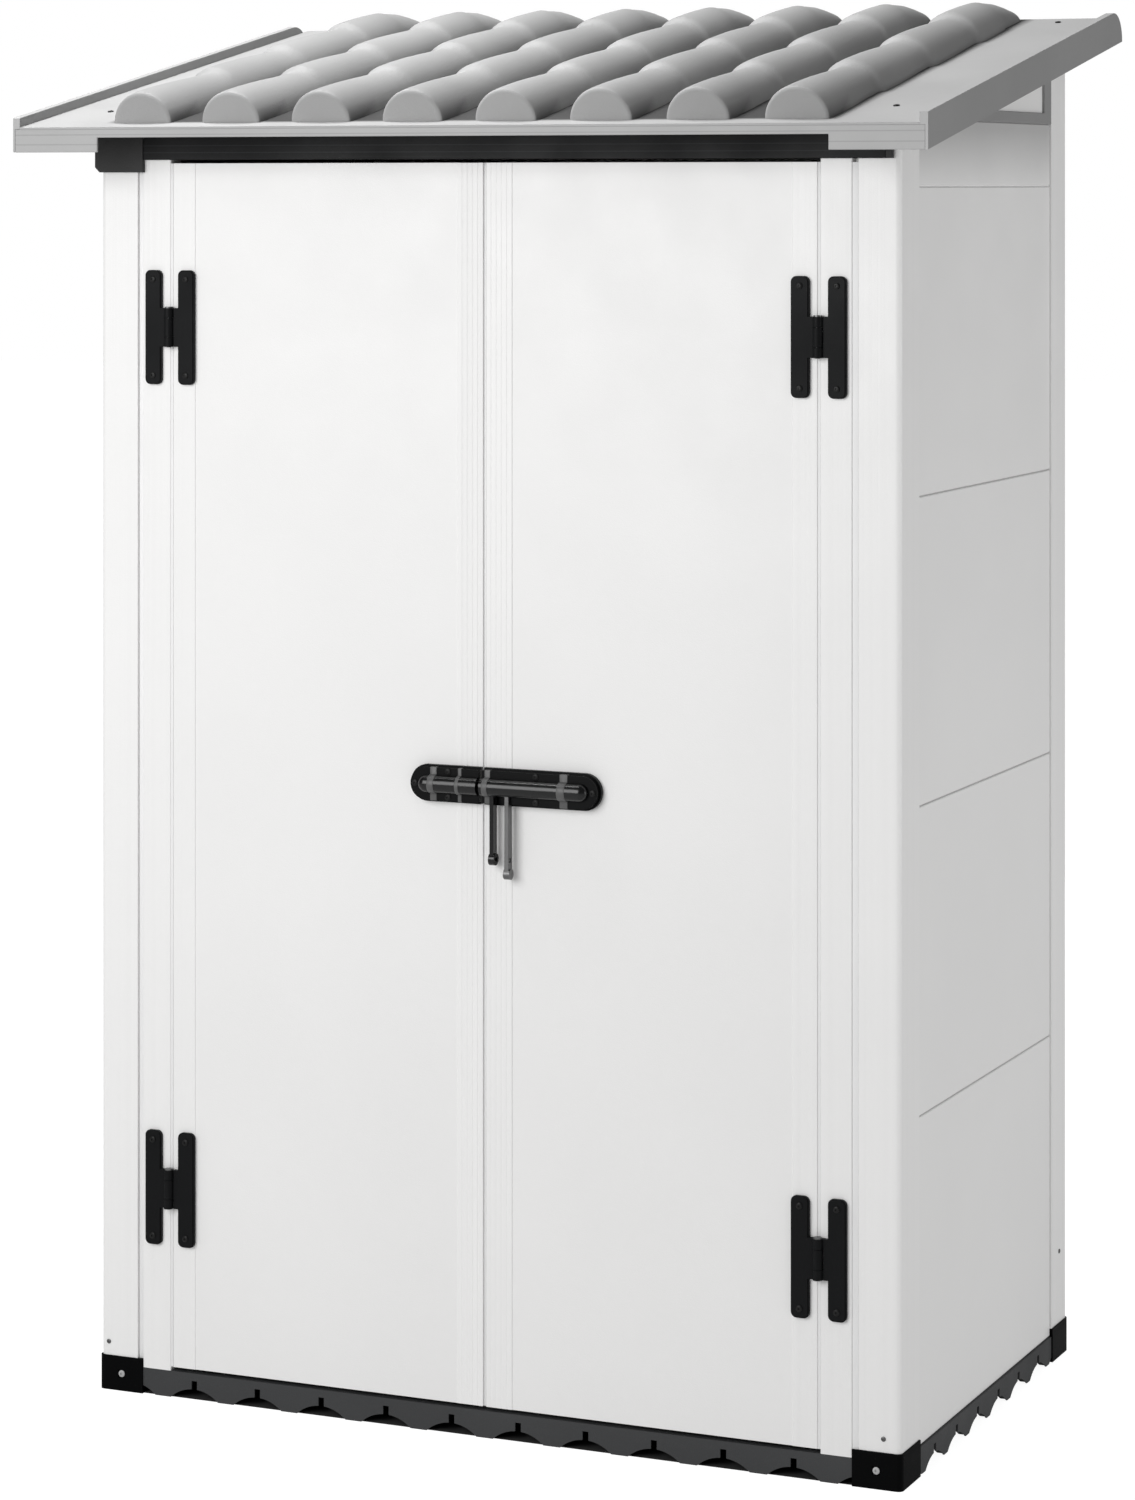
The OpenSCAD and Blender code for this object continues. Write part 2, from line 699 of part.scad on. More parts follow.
// The meeting stile has fine upright grooves in its face
module meeting_stile(side) color(white) at_origin() on_side(side) difference() {
    translate([0, 0, door_z0]) hollow_upright(meeting_edge, panel_inner_edge, door_t, door_h);
    for (i = [1 : stile_grooves])
        translate([meeting_edge + i * meeting_w / (stile_grooves + 1), 0, door_z0 + door_h / 2])
            cube([stile_groove_w, 2 * stile_groove_d, door_h + 2 * over], center = true);
    latch_screw_holes(side);
}

// Hinges

module hinge_screw_places(bar_x) for (z = hinge_zs, dz = [-hinge_screw_z, hinge_screw_z])
    translate([pin_x + bar_x, 0, z + dz]) children();

module hinge_screw_holes(bar_x) hinge_screw_places(bar_x)
    y_rod(0, -over, post_wall + over, 0, screw_r + fit_gap);

// A rectangle with rounded corners about the origin
module rounded_rect(w, h, r) {
    square([w, h - 2 * r], center = true);
    square([w - 2 * r, h], center = true);
    for (x = [-1, 1], y = [-1, 1]) translate([x * (w / 2 - r), y * (h / 2 - r)]) circle(r);
}

// One bar of a hinge: a flat bar with rounded corners and a slightly smaller raised face
module hinge_bar(x) {
    for (layer = [[0, hinge_t - hinge_step_t], [hinge_step, hinge_t]])
        translate([x, 0, 0]) rotate([90, 0, 0]) linear_extrude(layer[1])
            rounded_rect(hinge_bar_w - 2 * layer[0], hinge_h - 2 * layer[0], hinge_round - layer[0]);
}

// A leaf about the pin at X = 0: its bar, and a web and knuckle over each stretch [z0, z1]
module hinge_leaf(bar_x, stretches) difference() {
    union() {
        hinge_bar(bar_x);
        for (s = stretches) {
            translate([min(bar_x, 0), -hinge_t, s[0]]) cube([abs(bar_x), hinge_t, s[1] - s[0]]);
            translate([0, pin_y, s[0]]) cylinder(h = s[1] - s[0], r = knuckle_r);
        }
        translate([min(bar_x, sign(bar_x) * (knuckle_r + pass_gap)), -hinge_t, -knuckle_h / 2])
            cube([abs(bar_x) - knuckle_r - pass_gap, hinge_t, knuckle_h]);
    }
    translate([0, pin_y, -hinge_h]) cylinder(h = 2 * hinge_h, r = pin_r + running_gap);
    for (dz = [-hinge_screw_z, hinge_screw_z]) y_rod(bar_x, -hinge_t - over, over, dz, screw_r + fit_gap);
}

module frame_leaf(side, z) color(black) at_origin() on_side(side) translate([pin_x, 0, z])
    hinge_leaf(hinge_bar_x, [[-knuckle_h / 2, -knuckle_h / 4], [knuckle_h / 4, knuckle_h / 2]]);

module door_leaf(side, z) color(black) at_origin() on_side(side) translate([pin_x, 0, z])
    hinge_leaf(-hinge_bar_x, [[pass_gap - knuckle_h / 4, knuckle_h / 4 - pass_gap]]);

module hinge_pins() color(steel) at_origin() for (side = [-1, 1], z = hinge_zs) on_side(side)
    translate([pin_x, pin_y, z]) {
        translate([0, 0, -knuckle_h / 2 - over]) cylinder(h = knuckle_h + 2 * over, r = pin_r);
        translate([0, 0, knuckle_h / 2]) cylinder(h = pin_head_h, r = pin_head_r);
    }

// Latch

// A latch plate with one round end, from the meeting edge outwards, in two steps, with its bolt barrel
module latch_plate(len) {
    for (step = [[0, 0, plate_t], [latch_step, plate_t - over, bolt_y]])
        translate([0, -step[1], 0]) rotate([90, 0, 0]) linear_extrude(step[2] - step[1]) {
            r = latch_h / 2 - step[0];
            translate([0, -r]) square([len - latch_h / 2, 2 * r]);
            translate([len - latch_h / 2, 0]) circle(r);
        }
    x_rod(0, len - latch_h / 2 - latch_step, arm_y, 0, barrel_r);
    translate([len - latch_h / 2 - latch_step, arm_y, 0]) sphere(barrel_r);
}

// Grooves across the latch, one at each band
module latch_bands() for (x = band_xs, s = [-1, 1])
    translate([x - band_w / 2, -bolt_y - over, s > 0 ? barrel_r : -latch_h])
        cube([band_w, bolt_y - plate_t + over, latch_h - barrel_r]);

module latch_keeper() color(black) at_origin() translate([0, 0, latch_z]) difference() {
    mirror([1, 0, 0]) translate([meeting_edge, 0, 0]) latch_plate(keeper_len);
    x_rod(bolt_x0 - bolt_travel - bolt_end_gap, 0, arm_y, 0, bolt_r + running_gap);
    latch_bands();
    for (p = keeper_screws) y_rod(-p[0], -latch_h, over, p[1], screw_r + fit_gap);
}

module latch_housing() color(black) at_origin() translate([0, 0, latch_z]) difference() {
    union() {
        translate([meeting_edge, 0, 0]) latch_plate(housing_len);
        translate([meeting_edge + arm_x - arm_t / 2, arm_y - arm_d / 2, -eye_drop])
            cube([arm_t, arm_d, eye_drop - barrel_r / 2]);
        x_rod(meeting_edge + arm_x - eye_boss_t / 2, meeting_edge + arm_x + eye_boss_t / 2, arm_y, -eye_drop,
            eye_boss_r);
    }
    x_rod(0, bolt_x0 + bolt_len + bolt_end_gap, arm_y, 0, bolt_r + running_gap);
    x_rod(0, meeting_edge + 2 * arm_x, arm_y, -eye_drop, eye_r);
    translate([bolt_arm_x - bolt_travel - arm_t / 2 - pass_gap / 2, arm_y - arm_d / 2 - pass_gap, -latch_h])
        cube([bolt_travel + arm_t + pass_gap, arm_d + 2 * pass_gap, latch_h]);
    latch_bands();
    for (p = housing_screws) y_rod(p[0], -latch_h, over, p[1], screw_r + fit_gap);
}

module latch_bolt() color(steel) at_origin() x_rod(bolt_x0, bolt_x0 + bolt_len, arm_y, latch_z, bolt_r);

module bolt_arm() color(steel) at_origin() translate([0, 0, latch_z]) difference() {
    union() {
        translate([bolt_arm_x - arm_t / 2, arm_y - arm_d / 2, -knob_drop])
            cube([arm_t, arm_d, knob_drop - bolt_r / 2]);
        x_rod(bolt_arm_x - knob_t / 2, bolt_arm_x + knob_t / 2, arm_y, -knob_drop, knob_r);
    }
    x_rod(bolt_arm_x - knob_t, bolt_arm_x + knob_t, arm_y, 0, bolt_r);
    x_rod(bolt_arm_x - knob_t, bolt_arm_x + knob_t, arm_y, -eye_drop, eye_r);
}

// Screws

// A pan-head screw along +Y whose head rests at y = 0
module screw(grip) {
    y_rod(0, -over, grip, 0, screw_r);
    intersection() {
        translate([0, 2 * screw_head_r - screw_head_h, 0]) sphere(2 * screw_head_r);
        y_rod(0, -screw_head_h - over, 0, 0, screw_head_r);
    }
}

module latch_screw_holes(side) for (p = side < 0 ? keeper_screws : housing_screws)
    y_rod(p[0], -over, screw_grip + over, latch_z + p[1], screw_r + fit_gap);

module latch_screws(places) for (p = places)
    translate([p[0], -bolt_y, latch_z + p[1]]) screw(bolt_y + screw_grip);

module frame_screws() color(steel) at_origin() {
    for (side = [-1, 1]) on_side(side) {
        translate([0, -hinge_t, 0]) hinge_screw_places(hinge_bar_x) screw(hinge_t + screw_grip);
        for (y = [0, wall_d]) translate([0, y, 0]) mirror([0, y, 0])
            translate([half_w - corner_w / 2, plug_depth - block_proud, block_h / 2])
                screw(screw_grip - plug_depth);
        roof_screw_places() screw(screw_grip);
    }
}

module door_screws(side, places) color(steel) at_origin() {
    on_side(side) {
        translate([0, -hinge_t, 0]) hinge_screw_places(-hinge_bar_x) screw(hinge_t + screw_grip);
        latch_screws(places);
    }
}

floor_panel(0);  // floor_panel_left
floor_panel(1);  // floor_panel_middle
floor_panel(2);  // floor_panel_right
corner_blocks();
front_post(-1);  // post_front_left
front_post(1);  // post_front_right
rear_post(-1);  // post_rear_left
rear_post(1);  // post_rear_right
jamb(-1);  // jamb_left
jamb(1);  // jamb_right
lintel();
lintel_end_caps();
rear_rail();
roof_rafter();
side_board(-1, 1);  // wall_left_board_1
side_board(-1, 2);  // wall_left_board_2
side_board(-1, 3);  // wall_left_board_3
side_board(-1, 4);  // wall_left_board_4
side_board(-1, 5);  // wall_left_board_top
side_board(1, 1);  // wall_right_board_1
side_board(1, 2);  // wall_right_board_2
side_board(1, 3);  // wall_right_board_3
side_board(1, 4);  // wall_right_board_4
side_board(1, 5);  // wall_right_board_top
rear_board(1);  // wall_rear_board_1
rear_board(2);  // wall_rear_board_2
rear_board(3);  // wall_rear_board_3
rear_board(4);  // wall_rear_board_4
rear_board(5);  // wall_rear_board_top
gable_frame(-1);  // gable_frame_left
gable_frame(1);  // gable_frame_right
gable_panels();
roof_half(-1);  // roof_left
roof_half(1);  // roof_right
verge(-1);  // verge_left
verge(1);  // verge_right
eaves_fascia();
door_panel(-1);  // door_left_panel
hinge_stile(-1);  // door_left_hinge_stile
meeting_stile(-1);  // door_left_meeting_stile
door_panel(1);  // door_right_panel
hinge_stile(1);  // door_right_hinge_stile
meeting_stile(1);  // door_right_meeting_stile
frame_leaf(-1, hinge_low_z);  // hinge_frame_leaf_left_lower
frame_leaf(-1, hinge_high_z);  // hinge_frame_leaf_left_upper
frame_leaf(1, hinge_low_z);  // hinge_frame_leaf_right_lower
frame_leaf(1, hinge_high_z);  // hinge_frame_leaf_right_upper
door_leaf(-1, hinge_low_z);  // hinge_door_leaf_left_lower
door_leaf(-1, hinge_high_z);  // hinge_door_leaf_left_upper
door_leaf(1, hinge_low_z);  // hinge_door_leaf_right_lower
door_leaf(1, hinge_high_z);  // hinge_door_leaf_right_upper
hinge_pins();
latch_keeper();
latch_housing();
latch_bolt();
bolt_arm();
frame_screws();
door_screws(-1, keeper_screws);  // door_left_screws
door_screws(1, housing_screws);  // door_right_screws
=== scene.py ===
"""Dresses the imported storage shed: resin and steel finishes, softened moulded edges, the tiled
roof, small fasteners, and the studio with the camera of the photograph."""

import json
import math

import bpy
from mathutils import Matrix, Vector


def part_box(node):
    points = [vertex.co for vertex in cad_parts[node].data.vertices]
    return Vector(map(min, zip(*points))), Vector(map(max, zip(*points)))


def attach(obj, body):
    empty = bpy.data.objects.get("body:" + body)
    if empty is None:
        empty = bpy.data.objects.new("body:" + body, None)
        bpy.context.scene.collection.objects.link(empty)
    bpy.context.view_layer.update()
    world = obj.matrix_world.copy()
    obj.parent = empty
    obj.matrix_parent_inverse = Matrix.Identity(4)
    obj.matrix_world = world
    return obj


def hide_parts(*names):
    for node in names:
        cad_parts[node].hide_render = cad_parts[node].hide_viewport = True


bl_info = {
    "name": "Storage shed",
    "version": (1, 0, 0),
    "blender": (4, 5, 0),
    "location": "3D View > Sidebar > Shed",
    "description": "Dresses a lean-to resin storage shed around its packed frame",
    "category": "Object",
}

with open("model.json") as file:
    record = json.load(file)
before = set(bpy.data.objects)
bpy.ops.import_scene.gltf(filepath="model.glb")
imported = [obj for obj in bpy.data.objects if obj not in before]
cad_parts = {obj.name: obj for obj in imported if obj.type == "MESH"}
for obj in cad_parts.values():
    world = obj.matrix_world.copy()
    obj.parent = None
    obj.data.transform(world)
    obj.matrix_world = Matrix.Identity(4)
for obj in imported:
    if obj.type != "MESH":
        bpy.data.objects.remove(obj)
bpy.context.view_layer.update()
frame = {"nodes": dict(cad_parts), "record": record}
BODY_OF = {
    node: body
    for body, nodes in frame["record"]["behaviour"]["bodies"].items()
    for node in nodes
}

# Where the roof lies: its front edge, the sheet's underside there, its depth and half its width
ROOF_LOW, ROOF_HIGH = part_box("roof_right")
ROOF_FRONT_Y = ROOF_LOW.y
ROOF_FRONT_Z = ROOF_LOW.z
ROOF_DEPTH = ROOF_HIGH.y - ROOF_LOW.y
ROOF_HALF_WIDTH = ROOF_HIGH.x

# Front faces of the posts, the hinges and the latch, the latch's height and its barrel's radius
POST_FACE_Y, HINGE_FACE_Y, LATCH_FACE_Y = -0.329, -0.336, -0.343
LATCH_Z = 0.917
BARREL_RADIUS = 0.013

# Points this close are merged, and places this close count as the same
SAME_POINT = 0.00001
SAME_PLACE = 0.0001


def grey(level, warmth=0.0):
    """A linear colour from a display level of 0 to 255, warmer above 0 and cooler below."""
    channels = [(level + shift) / 255 for shift in (warmth, 0.2 * warmth, -warmth)]
    return tuple(
        c / 12.92 if c <= 0.04045 else ((c + 0.055) / 1.055) ** 2.4 for c in channels
    )


def darker(colour, share):
    """This share of a colour."""
    return tuple(share * channel for channel in colour)


# ---------------------------------------------------------------- settings


class ShedFinishes(bpy.types.PropertyGroup):
    """Colours and surface of the shed's materials."""

    wall_colour: bpy.props.FloatVectorProperty(
        name="Walls", description="Colour of the wall and door boards",
        subtype="COLOR", size=3, default=grey(238, 0.5))
    frame_colour: bpy.props.FloatVectorProperty(
        name="Posts", description="Colour of the posts, jambs and stiles",
        subtype="COLOR", size=3, default=grey(240, 0.5))
    # Painted shade: the top boards darken towards their tops, as under the verges
    top_board_painted_shade: bpy.props.FloatProperty(
        name="Top boards", description="Share of the walls' colour at the top of the top boards",
        subtype="FACTOR", default=0.60)
    # The verges' tops and fronts take this lighter colour and their sides the darker verge colour:
    # painted light and shade
    trim_colour: bpy.props.FloatVectorProperty(
        name="Roof sheet", description="Colour of the roof sheet and of the tops of the verges",
        subtype="COLOR", size=3, default=grey(172))
    fascia_colour: bpy.props.FloatVectorProperty(
        name="Fascia", description="Colour of the fascia along the eaves",
        subtype="COLOR", size=3, default=grey(168))
    verge_colour: bpy.props.FloatVectorProperty(
        name="Verges", description="Colour of the verges and the gable frames",
        subtype="COLOR", size=3, default=grey(143))
    tile_colour: bpy.props.FloatVectorProperty(
        name="Tiles", description="Colour of the tile rows",
        subtype="COLOR", size=3, default=grey(157))
    base_colour: bpy.props.FloatVectorProperty(
        name="Base", description="Colour of the floor panels",
        subtype="COLOR", size=3, default=grey(62, -1.0))
    black_colour: bpy.props.FloatVectorProperty(
        name="Ironwork", description="Colour of the blocks, the lintel, the hinges and the latch",
        subtype="COLOR", size=3, default=grey(18, -1.0))
    cap_colour: bpy.props.FloatVectorProperty(
        name="End cap", description="Colour of the lintel's end cap",
        subtype="COLOR", size=3, default=grey(58))
    steel_colour: bpy.props.FloatVectorProperty(
        name="Steel", description="Colour of the bolt, its arm and the screws",
        subtype="COLOR", size=3, default=grey(116))
    black_screw_colour: bpy.props.FloatVectorProperty(
        name="Black screws", description="Colour of the screws of the hinges, latch and roof",
        subtype="COLOR", size=3, default=grey(26))
    plug_colour: bpy.props.FloatVectorProperty(
        name="Plugs", description="Colour of the plugs in the corner blocks",
        subtype="COLOR", size=3, default=grey(176))
    strap_colour: bpy.props.FloatVectorProperty(
        name="Straps", description="Colour of the straps over the latch",
        subtype="COLOR", size=3, default=grey(86))
    seal_colour: bpy.props.FloatVectorProperty(
        name="Seals", description="Colour of the lip seals and the groove strips",
        subtype="COLOR", size=3, default=grey(236))
    grain_depth: bpy.props.FloatProperty(
        name="Grain", description="Height of the grain that the mould leaves on the resin",
        subtype="DISTANCE", unit="LENGTH", default=0.00018)


class ShedShapes(bpy.types.PropertyGroup):
    """Sizes of the modelled pieces."""

    edge_rounding: bpy.props.FloatProperty(
        name="Edge rounding", description="Radius along the edges of the moulded pieces",
        subtype="DISTANCE", unit="LENGTH", default=0.0012)
    roof_slope: bpy.props.FloatProperty(
        name="Roof slope", description="Slope of the roof",
        subtype="ANGLE", unit="ROTATION", default=math.radians(10.8))
    sheet_thickness: bpy.props.FloatProperty(
        name="Sheet", description="Thickness of the roof sheet and the tile shells",
        subtype="DISTANCE", unit="LENGTH", default=0.003)
    row_pitch: bpy.props.FloatProperty(
        name="Row pitch", description="Distance between two tile rows",
        subtype="DISTANCE", unit="LENGTH", default=0.1435)
    row_set_back: bpy.props.FloatProperty(
        name="Row set-back", description="Distance of the tile rows from the roof's front edge",
        subtype="DISTANCE", unit="LENGTH", default=0.031)
    row_rear_gap: bpy.props.FloatProperty(
        name="Row rear gap", description="Distance of the tile rows from the roof's rear edge",
        subtype="DISTANCE", unit="LENGTH", default=0.012)
    tile_radius: bpy.props.FloatProperty(
        name="Tile radius", description="Radius of a tile at its thick lower end",
        subtype="DISTANCE", unit="LENGTH", default=0.048)
    tile_thin_radius: bpy.props.FloatProperty(
        name="Thin radius", description="Radius of a tile at its thin upper end",
        subtype="DISTANCE", unit="LENGTH", default=0.041)
    row_end_radius: bpy.props.FloatProperty(
        name="Row end height", description="Height of a tile row at its closed rear end",
        subtype="DISTANCE", unit="LENGTH", default=0.022)
    row_end_length: bpy.props.FloatProperty(
        name="Row end length", description="Length of the part that falls to a row's rear end",
        subtype="DISTANCE", unit="LENGTH", default=0.080)
    tiles_in_row: bpy.props.IntProperty(
        name="Tiles", description="Number of tiles in one row", default=4)
    rows_in_half: bpy.props.IntProperty(
        name="Rows", description="Number of tile rows on each half of the roof", default=4)


class ShedStudio(bpy.types.PropertyGroup):
    """The camera and the lights."""

    camera_place: bpy.props.FloatVectorProperty(
        name="Camera", description="Place of the camera",
        subtype="TRANSLATION", unit="LENGTH", size=3, default=(2.4950, -5.6025, 1.7612))
    camera_turn: bpy.props.FloatProperty(
        name="Turn", description="Angle of the camera about the upright axis",
        subtype="ANGLE", unit="ROTATION", default=math.radians(23.028))
    focal_length: bpy.props.FloatProperty(
        name="Focal length", description="Focal length on a 36 mm high picture, in millimetres",
        default=99.55)
    shift: bpy.props.FloatVectorProperty(
        name="Shift", description="Shift of the lens that keeps the uprights parallel",
        size=2, default=(-0.05537, -0.37693))
    key_power: bpy.props.FloatProperty(
        name="Key", description="Power of the large light at the front left", default=92.0)
    roof_power: bpy.props.FloatProperty(
        name="Roof light", description="Power of the light on the roof", default=71.0)
    side_power: bpy.props.FloatProperty(
        name="Side light", description="Power of the light at the right", default=38.0)
    rear_power: bpy.props.FloatProperty(
        name="Rear light", description="Power of the light behind the shed", default=45.0)
    sky_strength: bpy.props.FloatProperty(
        name="Sky", description="Strength of the even light from all round", default=0.32)
    floor_white: bpy.props.FloatProperty(
        name="Floor white", description="Glow of the floor as the camera sees it", default=0.93)
    floor_glow: bpy.props.FloatProperty(
        name="Floor glow", description="Glow of the floor that lights the shed", default=0.36)


SETTINGS = (
    ("shed_finishes", ShedFinishes),
    ("shed_shapes", ShedShapes),
    ("shed_studio", ShedStudio),
)


# ---------------------------------------------------------------- modelling helpers


def deselect():
    if bpy.context.object is not None and bpy.context.object.mode != "OBJECT":
        bpy.ops.object.mode_set(mode="OBJECT")
    bpy.ops.object.select_all(action="DESELECT")


def pick(piece):
    deselect()
    piece.select_set(True)
    bpy.context.view_layer.objects.active = piece
    return piece


def edit(piece):
    """Opens a piece in edit mode with all of it selected."""
    pick(piece)
    bpy.ops.object.mode_set(mode="EDIT")
    bpy.ops.mesh.select_all(action="SELECT")


def close_edit():
    bpy.ops.object.mode_set(mode="OBJECT")


SELECT_MODES = {"vertices": "VERT", "edges": "EDGE", "polygons": "FACE"}


def select(piece, domain, test):
    """Selects the vertices, the edges whose two ends, or the faces whose middle, pass the test."""
    bpy.ops.mesh.select_mode(type=SELECT_MODES[domain])
    bpy.ops.mesh.select_all(action="DESELECT")
    bpy.ops.object.mode_set(mode="OBJECT")
    ends = [vertex.co for vertex in piece.data.vertices]
    for part in getattr(piece.data, domain):
        if domain == "vertices":
            part.select = test(part.co)
        elif domain == "edges":
            part.select = all(test(ends[i]) for i in part.vertices)
        else:
            part.select = test(part.center)
    bpy.ops.object.mode_set(mode="EDIT")


def turn_outwards():
    """Makes all faces of the piece in edit mode point outwards."""
    bpy.ops.mesh.select_all(action="SELECT")
    bpy.ops.mesh.normals_make_consistent(inside=False)


def extrude(step):
    bpy.ops.mesh.extrude_region_move(TRANSFORM_OT_translate={"value": step})


def settle(piece):
    """Puts a piece's place into its mesh."""
    pick(piece)
    bpy.ops.object.transform_apply(location=True, rotation=True, scale=True)


def add_modifier(piece, kind, **values):
    """Adds a modifier with these values and applies it."""
    pick(piece)
    modifier = piece.modifiers.new(kind.lower(), kind)
    for name, value in values.items():
        setattr(modifier, name, value)
    bpy.ops.object.modifier_apply(modifier=modifier.name)


def round_edges(piece, radius, above):
    """Rounds the edges of a piece that are sharper than this many degrees."""
    add_modifier(piece, "BEVEL", width=radius, segments=2, limit_method="ANGLE",
        angle_limit=math.radians(above))


def smooth(piece, degrees):
    """Shades a piece smooth where its faces meet at less than this many degrees."""
    pick(piece)
    bpy.ops.object.shade_smooth_by_angle(angle=math.radians(degrees))


def twin(piece, name, offset=(0, 0, 0)):
    """A copy of a piece with its own mesh, moved by an offset."""
    pick(piece)
    bpy.ops.object.duplicate()
    copy = bpy.context.object
    copy.name = name
    copy.data.name = name
    bpy.ops.transform.translate(value=offset)
    settle(copy)
    return copy


def drawn(name, points):
    """A new piece, left in edit mode: a chain of vertices through these points."""
    bpy.ops.mesh.primitive_plane_add(size=0.001)
    piece = bpy.context.object
    piece.name = piece.data.name = name
    bpy.ops.object.mode_set(mode="EDIT")
    bpy.ops.mesh.select_mode(type="VERT")
    bpy.ops.mesh.select_all(action="SELECT")
    bpy.ops.mesh.merge(type="CENTER")
    bpy.ops.transform.translate(value=points[0])
    for start, end in zip(points, points[1:]):
        extrude([b - a for a, b in zip(start, end)])
    return piece


# Keeps the finishes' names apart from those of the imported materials
FINISH_PREFIX = "shed_"


def finish_named(name):
    return bpy.data.materials[FINISH_PREFIX + name]


def dress(piece, finish, body, slot, *nodes):
    """Gives a piece its finish, the body that it rides on and the nodes that it stands for."""
    piece.data.materials.clear()
    piece.data.materials.append(finish_named(finish))
    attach(piece, body)
    if nodes:
        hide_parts(*nodes)
    return piece


# ---------------------------------------------------------------- finishes

# The Mix node's sockets for its two colours and for their mixture
MIX_FIRST, MIX_SECOND, MIX_RESULT = 6, 7, 2


class FinishBuilder:
    """Builds a node material from a few plain steps."""

    def __init__(self, name, roughness=0.5, metallic=0.0, specular=0.5):
        self.material = bpy.data.materials.new(FINISH_PREFIX + name)
        self.material.use_nodes = True
        tree = self.material.node_tree
        self.nodes, self.links = tree.nodes, tree.links
        self.shader = self.nodes["Principled BSDF"]
        self.shader.inputs["Roughness"].default_value = roughness
        self.shader.inputs["Metallic"].default_value = metallic
        self.shader.inputs["Specular IOR Level"].default_value = specular
        self.place = self.nodes.new("ShaderNodeTexCoord").outputs["Object"]

    def along(self, axis):
        """The place along one axis."""
        node = self.nodes.new("ShaderNodeSeparateXYZ")
        self.links.new(self.place, node.inputs["Vector"])
        return node.outputs[axis]

    def stretched(self, scale):
        mapping = self.nodes.new("ShaderNodeMapping")
        mapping.inputs["Scale"].default_value = scale
        self.links.new(self.place, mapping.inputs["Vector"])
        return mapping.outputs["Vector"]

    def noise(self, scale, detail=2.0, stretch=None):
        node = self.nodes.new("ShaderNodeTexNoise")
        node.inputs["Scale"].default_value = scale
        node.inputs["Detail"].default_value = detail
        place = self.stretched(stretch) if stretch else self.place
        self.links.new(place, node.inputs["Vector"])
        return node.outputs["Fac"]

    def ranged(self, value, low, high, start=0.35, end=0.65):
        """Low up to the start, high from the end on, and even steps between them."""
        node = self.nodes.new("ShaderNodeMapRange")
        node.inputs["From Min"].default_value = start
        node.inputs["From Max"].default_value = end
        node.inputs["To Min"].default_value = low
        node.inputs["To Max"].default_value = high
        self.links.new(value, node.inputs["Value"])
        return node.outputs["Result"]

    def reckoned(self, operation, *values):
        """The result of a Math node for values that are sockets or plain numbers."""
        node = self.nodes.new("ShaderNodeMath")
        node.operation = operation
        for socket, value in zip(node.inputs, values):
            if isinstance(value, bpy.types.NodeSocket):
                self.links.new(value, socket)
            else:
                socket.default_value = value
        return node.outputs[0]

    def near(self, heights, reach):
        """1 within this reach of any of the heights, and 0 elsewhere."""
        height = self.along("Z")
        total = self.reckoned("COMPARE", height, heights[0], reach)
        for place in heights[1:]:
            total = self.reckoned("ADD", total, self.reckoned("COMPARE", height, place, reach))
        return total

    def mottle(self, colour, spread, scale=2.5):
        """Colours the finish with two close shades, mixed by a soft noise."""
        node = self.nodes.new("ShaderNodeMix")
        node.data_type = "RGBA"
        dark = [channel * (1 - spread) for channel in colour]
        light = [min(1.0, channel * (1 + spread)) for channel in colour]
        node.inputs[MIX_FIRST].default_value = (*dark, 1.0)
        node.inputs[MIX_SECOND].default_value = (*light, 1.0)
        patches = self.ranged(self.noise(scale, detail=3.0), 0, 1)
        self.links.new(patches, node.inputs["Factor"])
        self.shade = node.outputs[MIX_RESULT]
        self.links.new(self.shade, self.shader.inputs["Base Color"])

    def tone(self, share):
        """Leaves this share of the mottled colour; the share varies over the surface."""
        node = self.nodes.new("ShaderNodeVectorMath")
        node.operation = "SCALE"
        self.links.new(self.shade, node.inputs[0])
        self.links.new(share, node.inputs["Scale"])
        self.links.new(node.outputs["Vector"], self.shader.inputs["Base Color"])

    def vary_roughness(self, scale, detail, low, high):
        gloss = self.ranged(self.noise(scale, detail), low, high)
        self.links.new(gloss, self.shader.inputs["Roughness"])

    def relief(self, height, distance):
        """Adds a bump to those that the finish already has."""
        node = self.nodes.new("ShaderNodeBump")
        node.inputs["Strength"].default_value = 1.0
        node.inputs["Distance"].default_value = distance
        self.links.new(height, node.inputs["Height"])
        before = self.shader.inputs["Normal"].links
        if before:
            self.links.new(before[0].from_socket, node.inputs["Normal"])
        self.links.new(node.outputs["Normal"], self.shader.inputs["Normal"])


# How far the gloss of a resin strays, and the height of the slow waves in a moulded face
GLOSS_SPREAD = 0.06
WAVE_HEIGHT = 0.0006

# Streaks of an extruded profile: how they are squeezed and drawn out, height, and darkest tone
STREAK_STRETCH = (110.0, 110.0, 0.25)
STREAK_HEIGHT = 0.0005
STREAK_TONE = 0.985

# Heights of the seams of the wall boards, and of the faint lines along the fascia and the lintel
BOARD_SEAMS = (0.488, 0.9115, 1.335, 1.7585)
FASCIA_LINES = (1.8185, 1.8325)
LINTEL_LINES = (1.8075, 1.8175)

# Fading of the painted shade at the tile rows' feet: none on the rows' front faces, and less and
# less up the roof. Share of the plain colour from and to, at these distances from the front edge
FEET_FADES = ((1.0, 0.0, 0.031, 0.036), (0.0, 1.0, 0.04, 0.12))

# The painted shade in the gutters starts between the first two distances from the roof's front
# edge, and it ends between the second two distances from its middle, beside the outer rows
GUTTER_START = (0.026, 0.040)
GUTTER_EDGE = (0.545, 0.565)


def resin(name, colour, roughness, mottling, grain, grain_scale=700.0, specular=0.5):
    """Moulded resin: soft mottling, uneven gloss, slow waves and a fine grain."""
    finish = FinishBuilder(name, roughness, specular=specular)
    finish.mottle(colour, mottling)
    finish.vary_roughness(9.0, 4.0, roughness - GLOSS_SPREAD, roughness + GLOSS_SPREAD)
    finish.relief(finish.noise(6.0, detail=1.0), WAVE_HEIGHT)
    finish.relief(finish.noise(grain_scale), grain)
    return finish


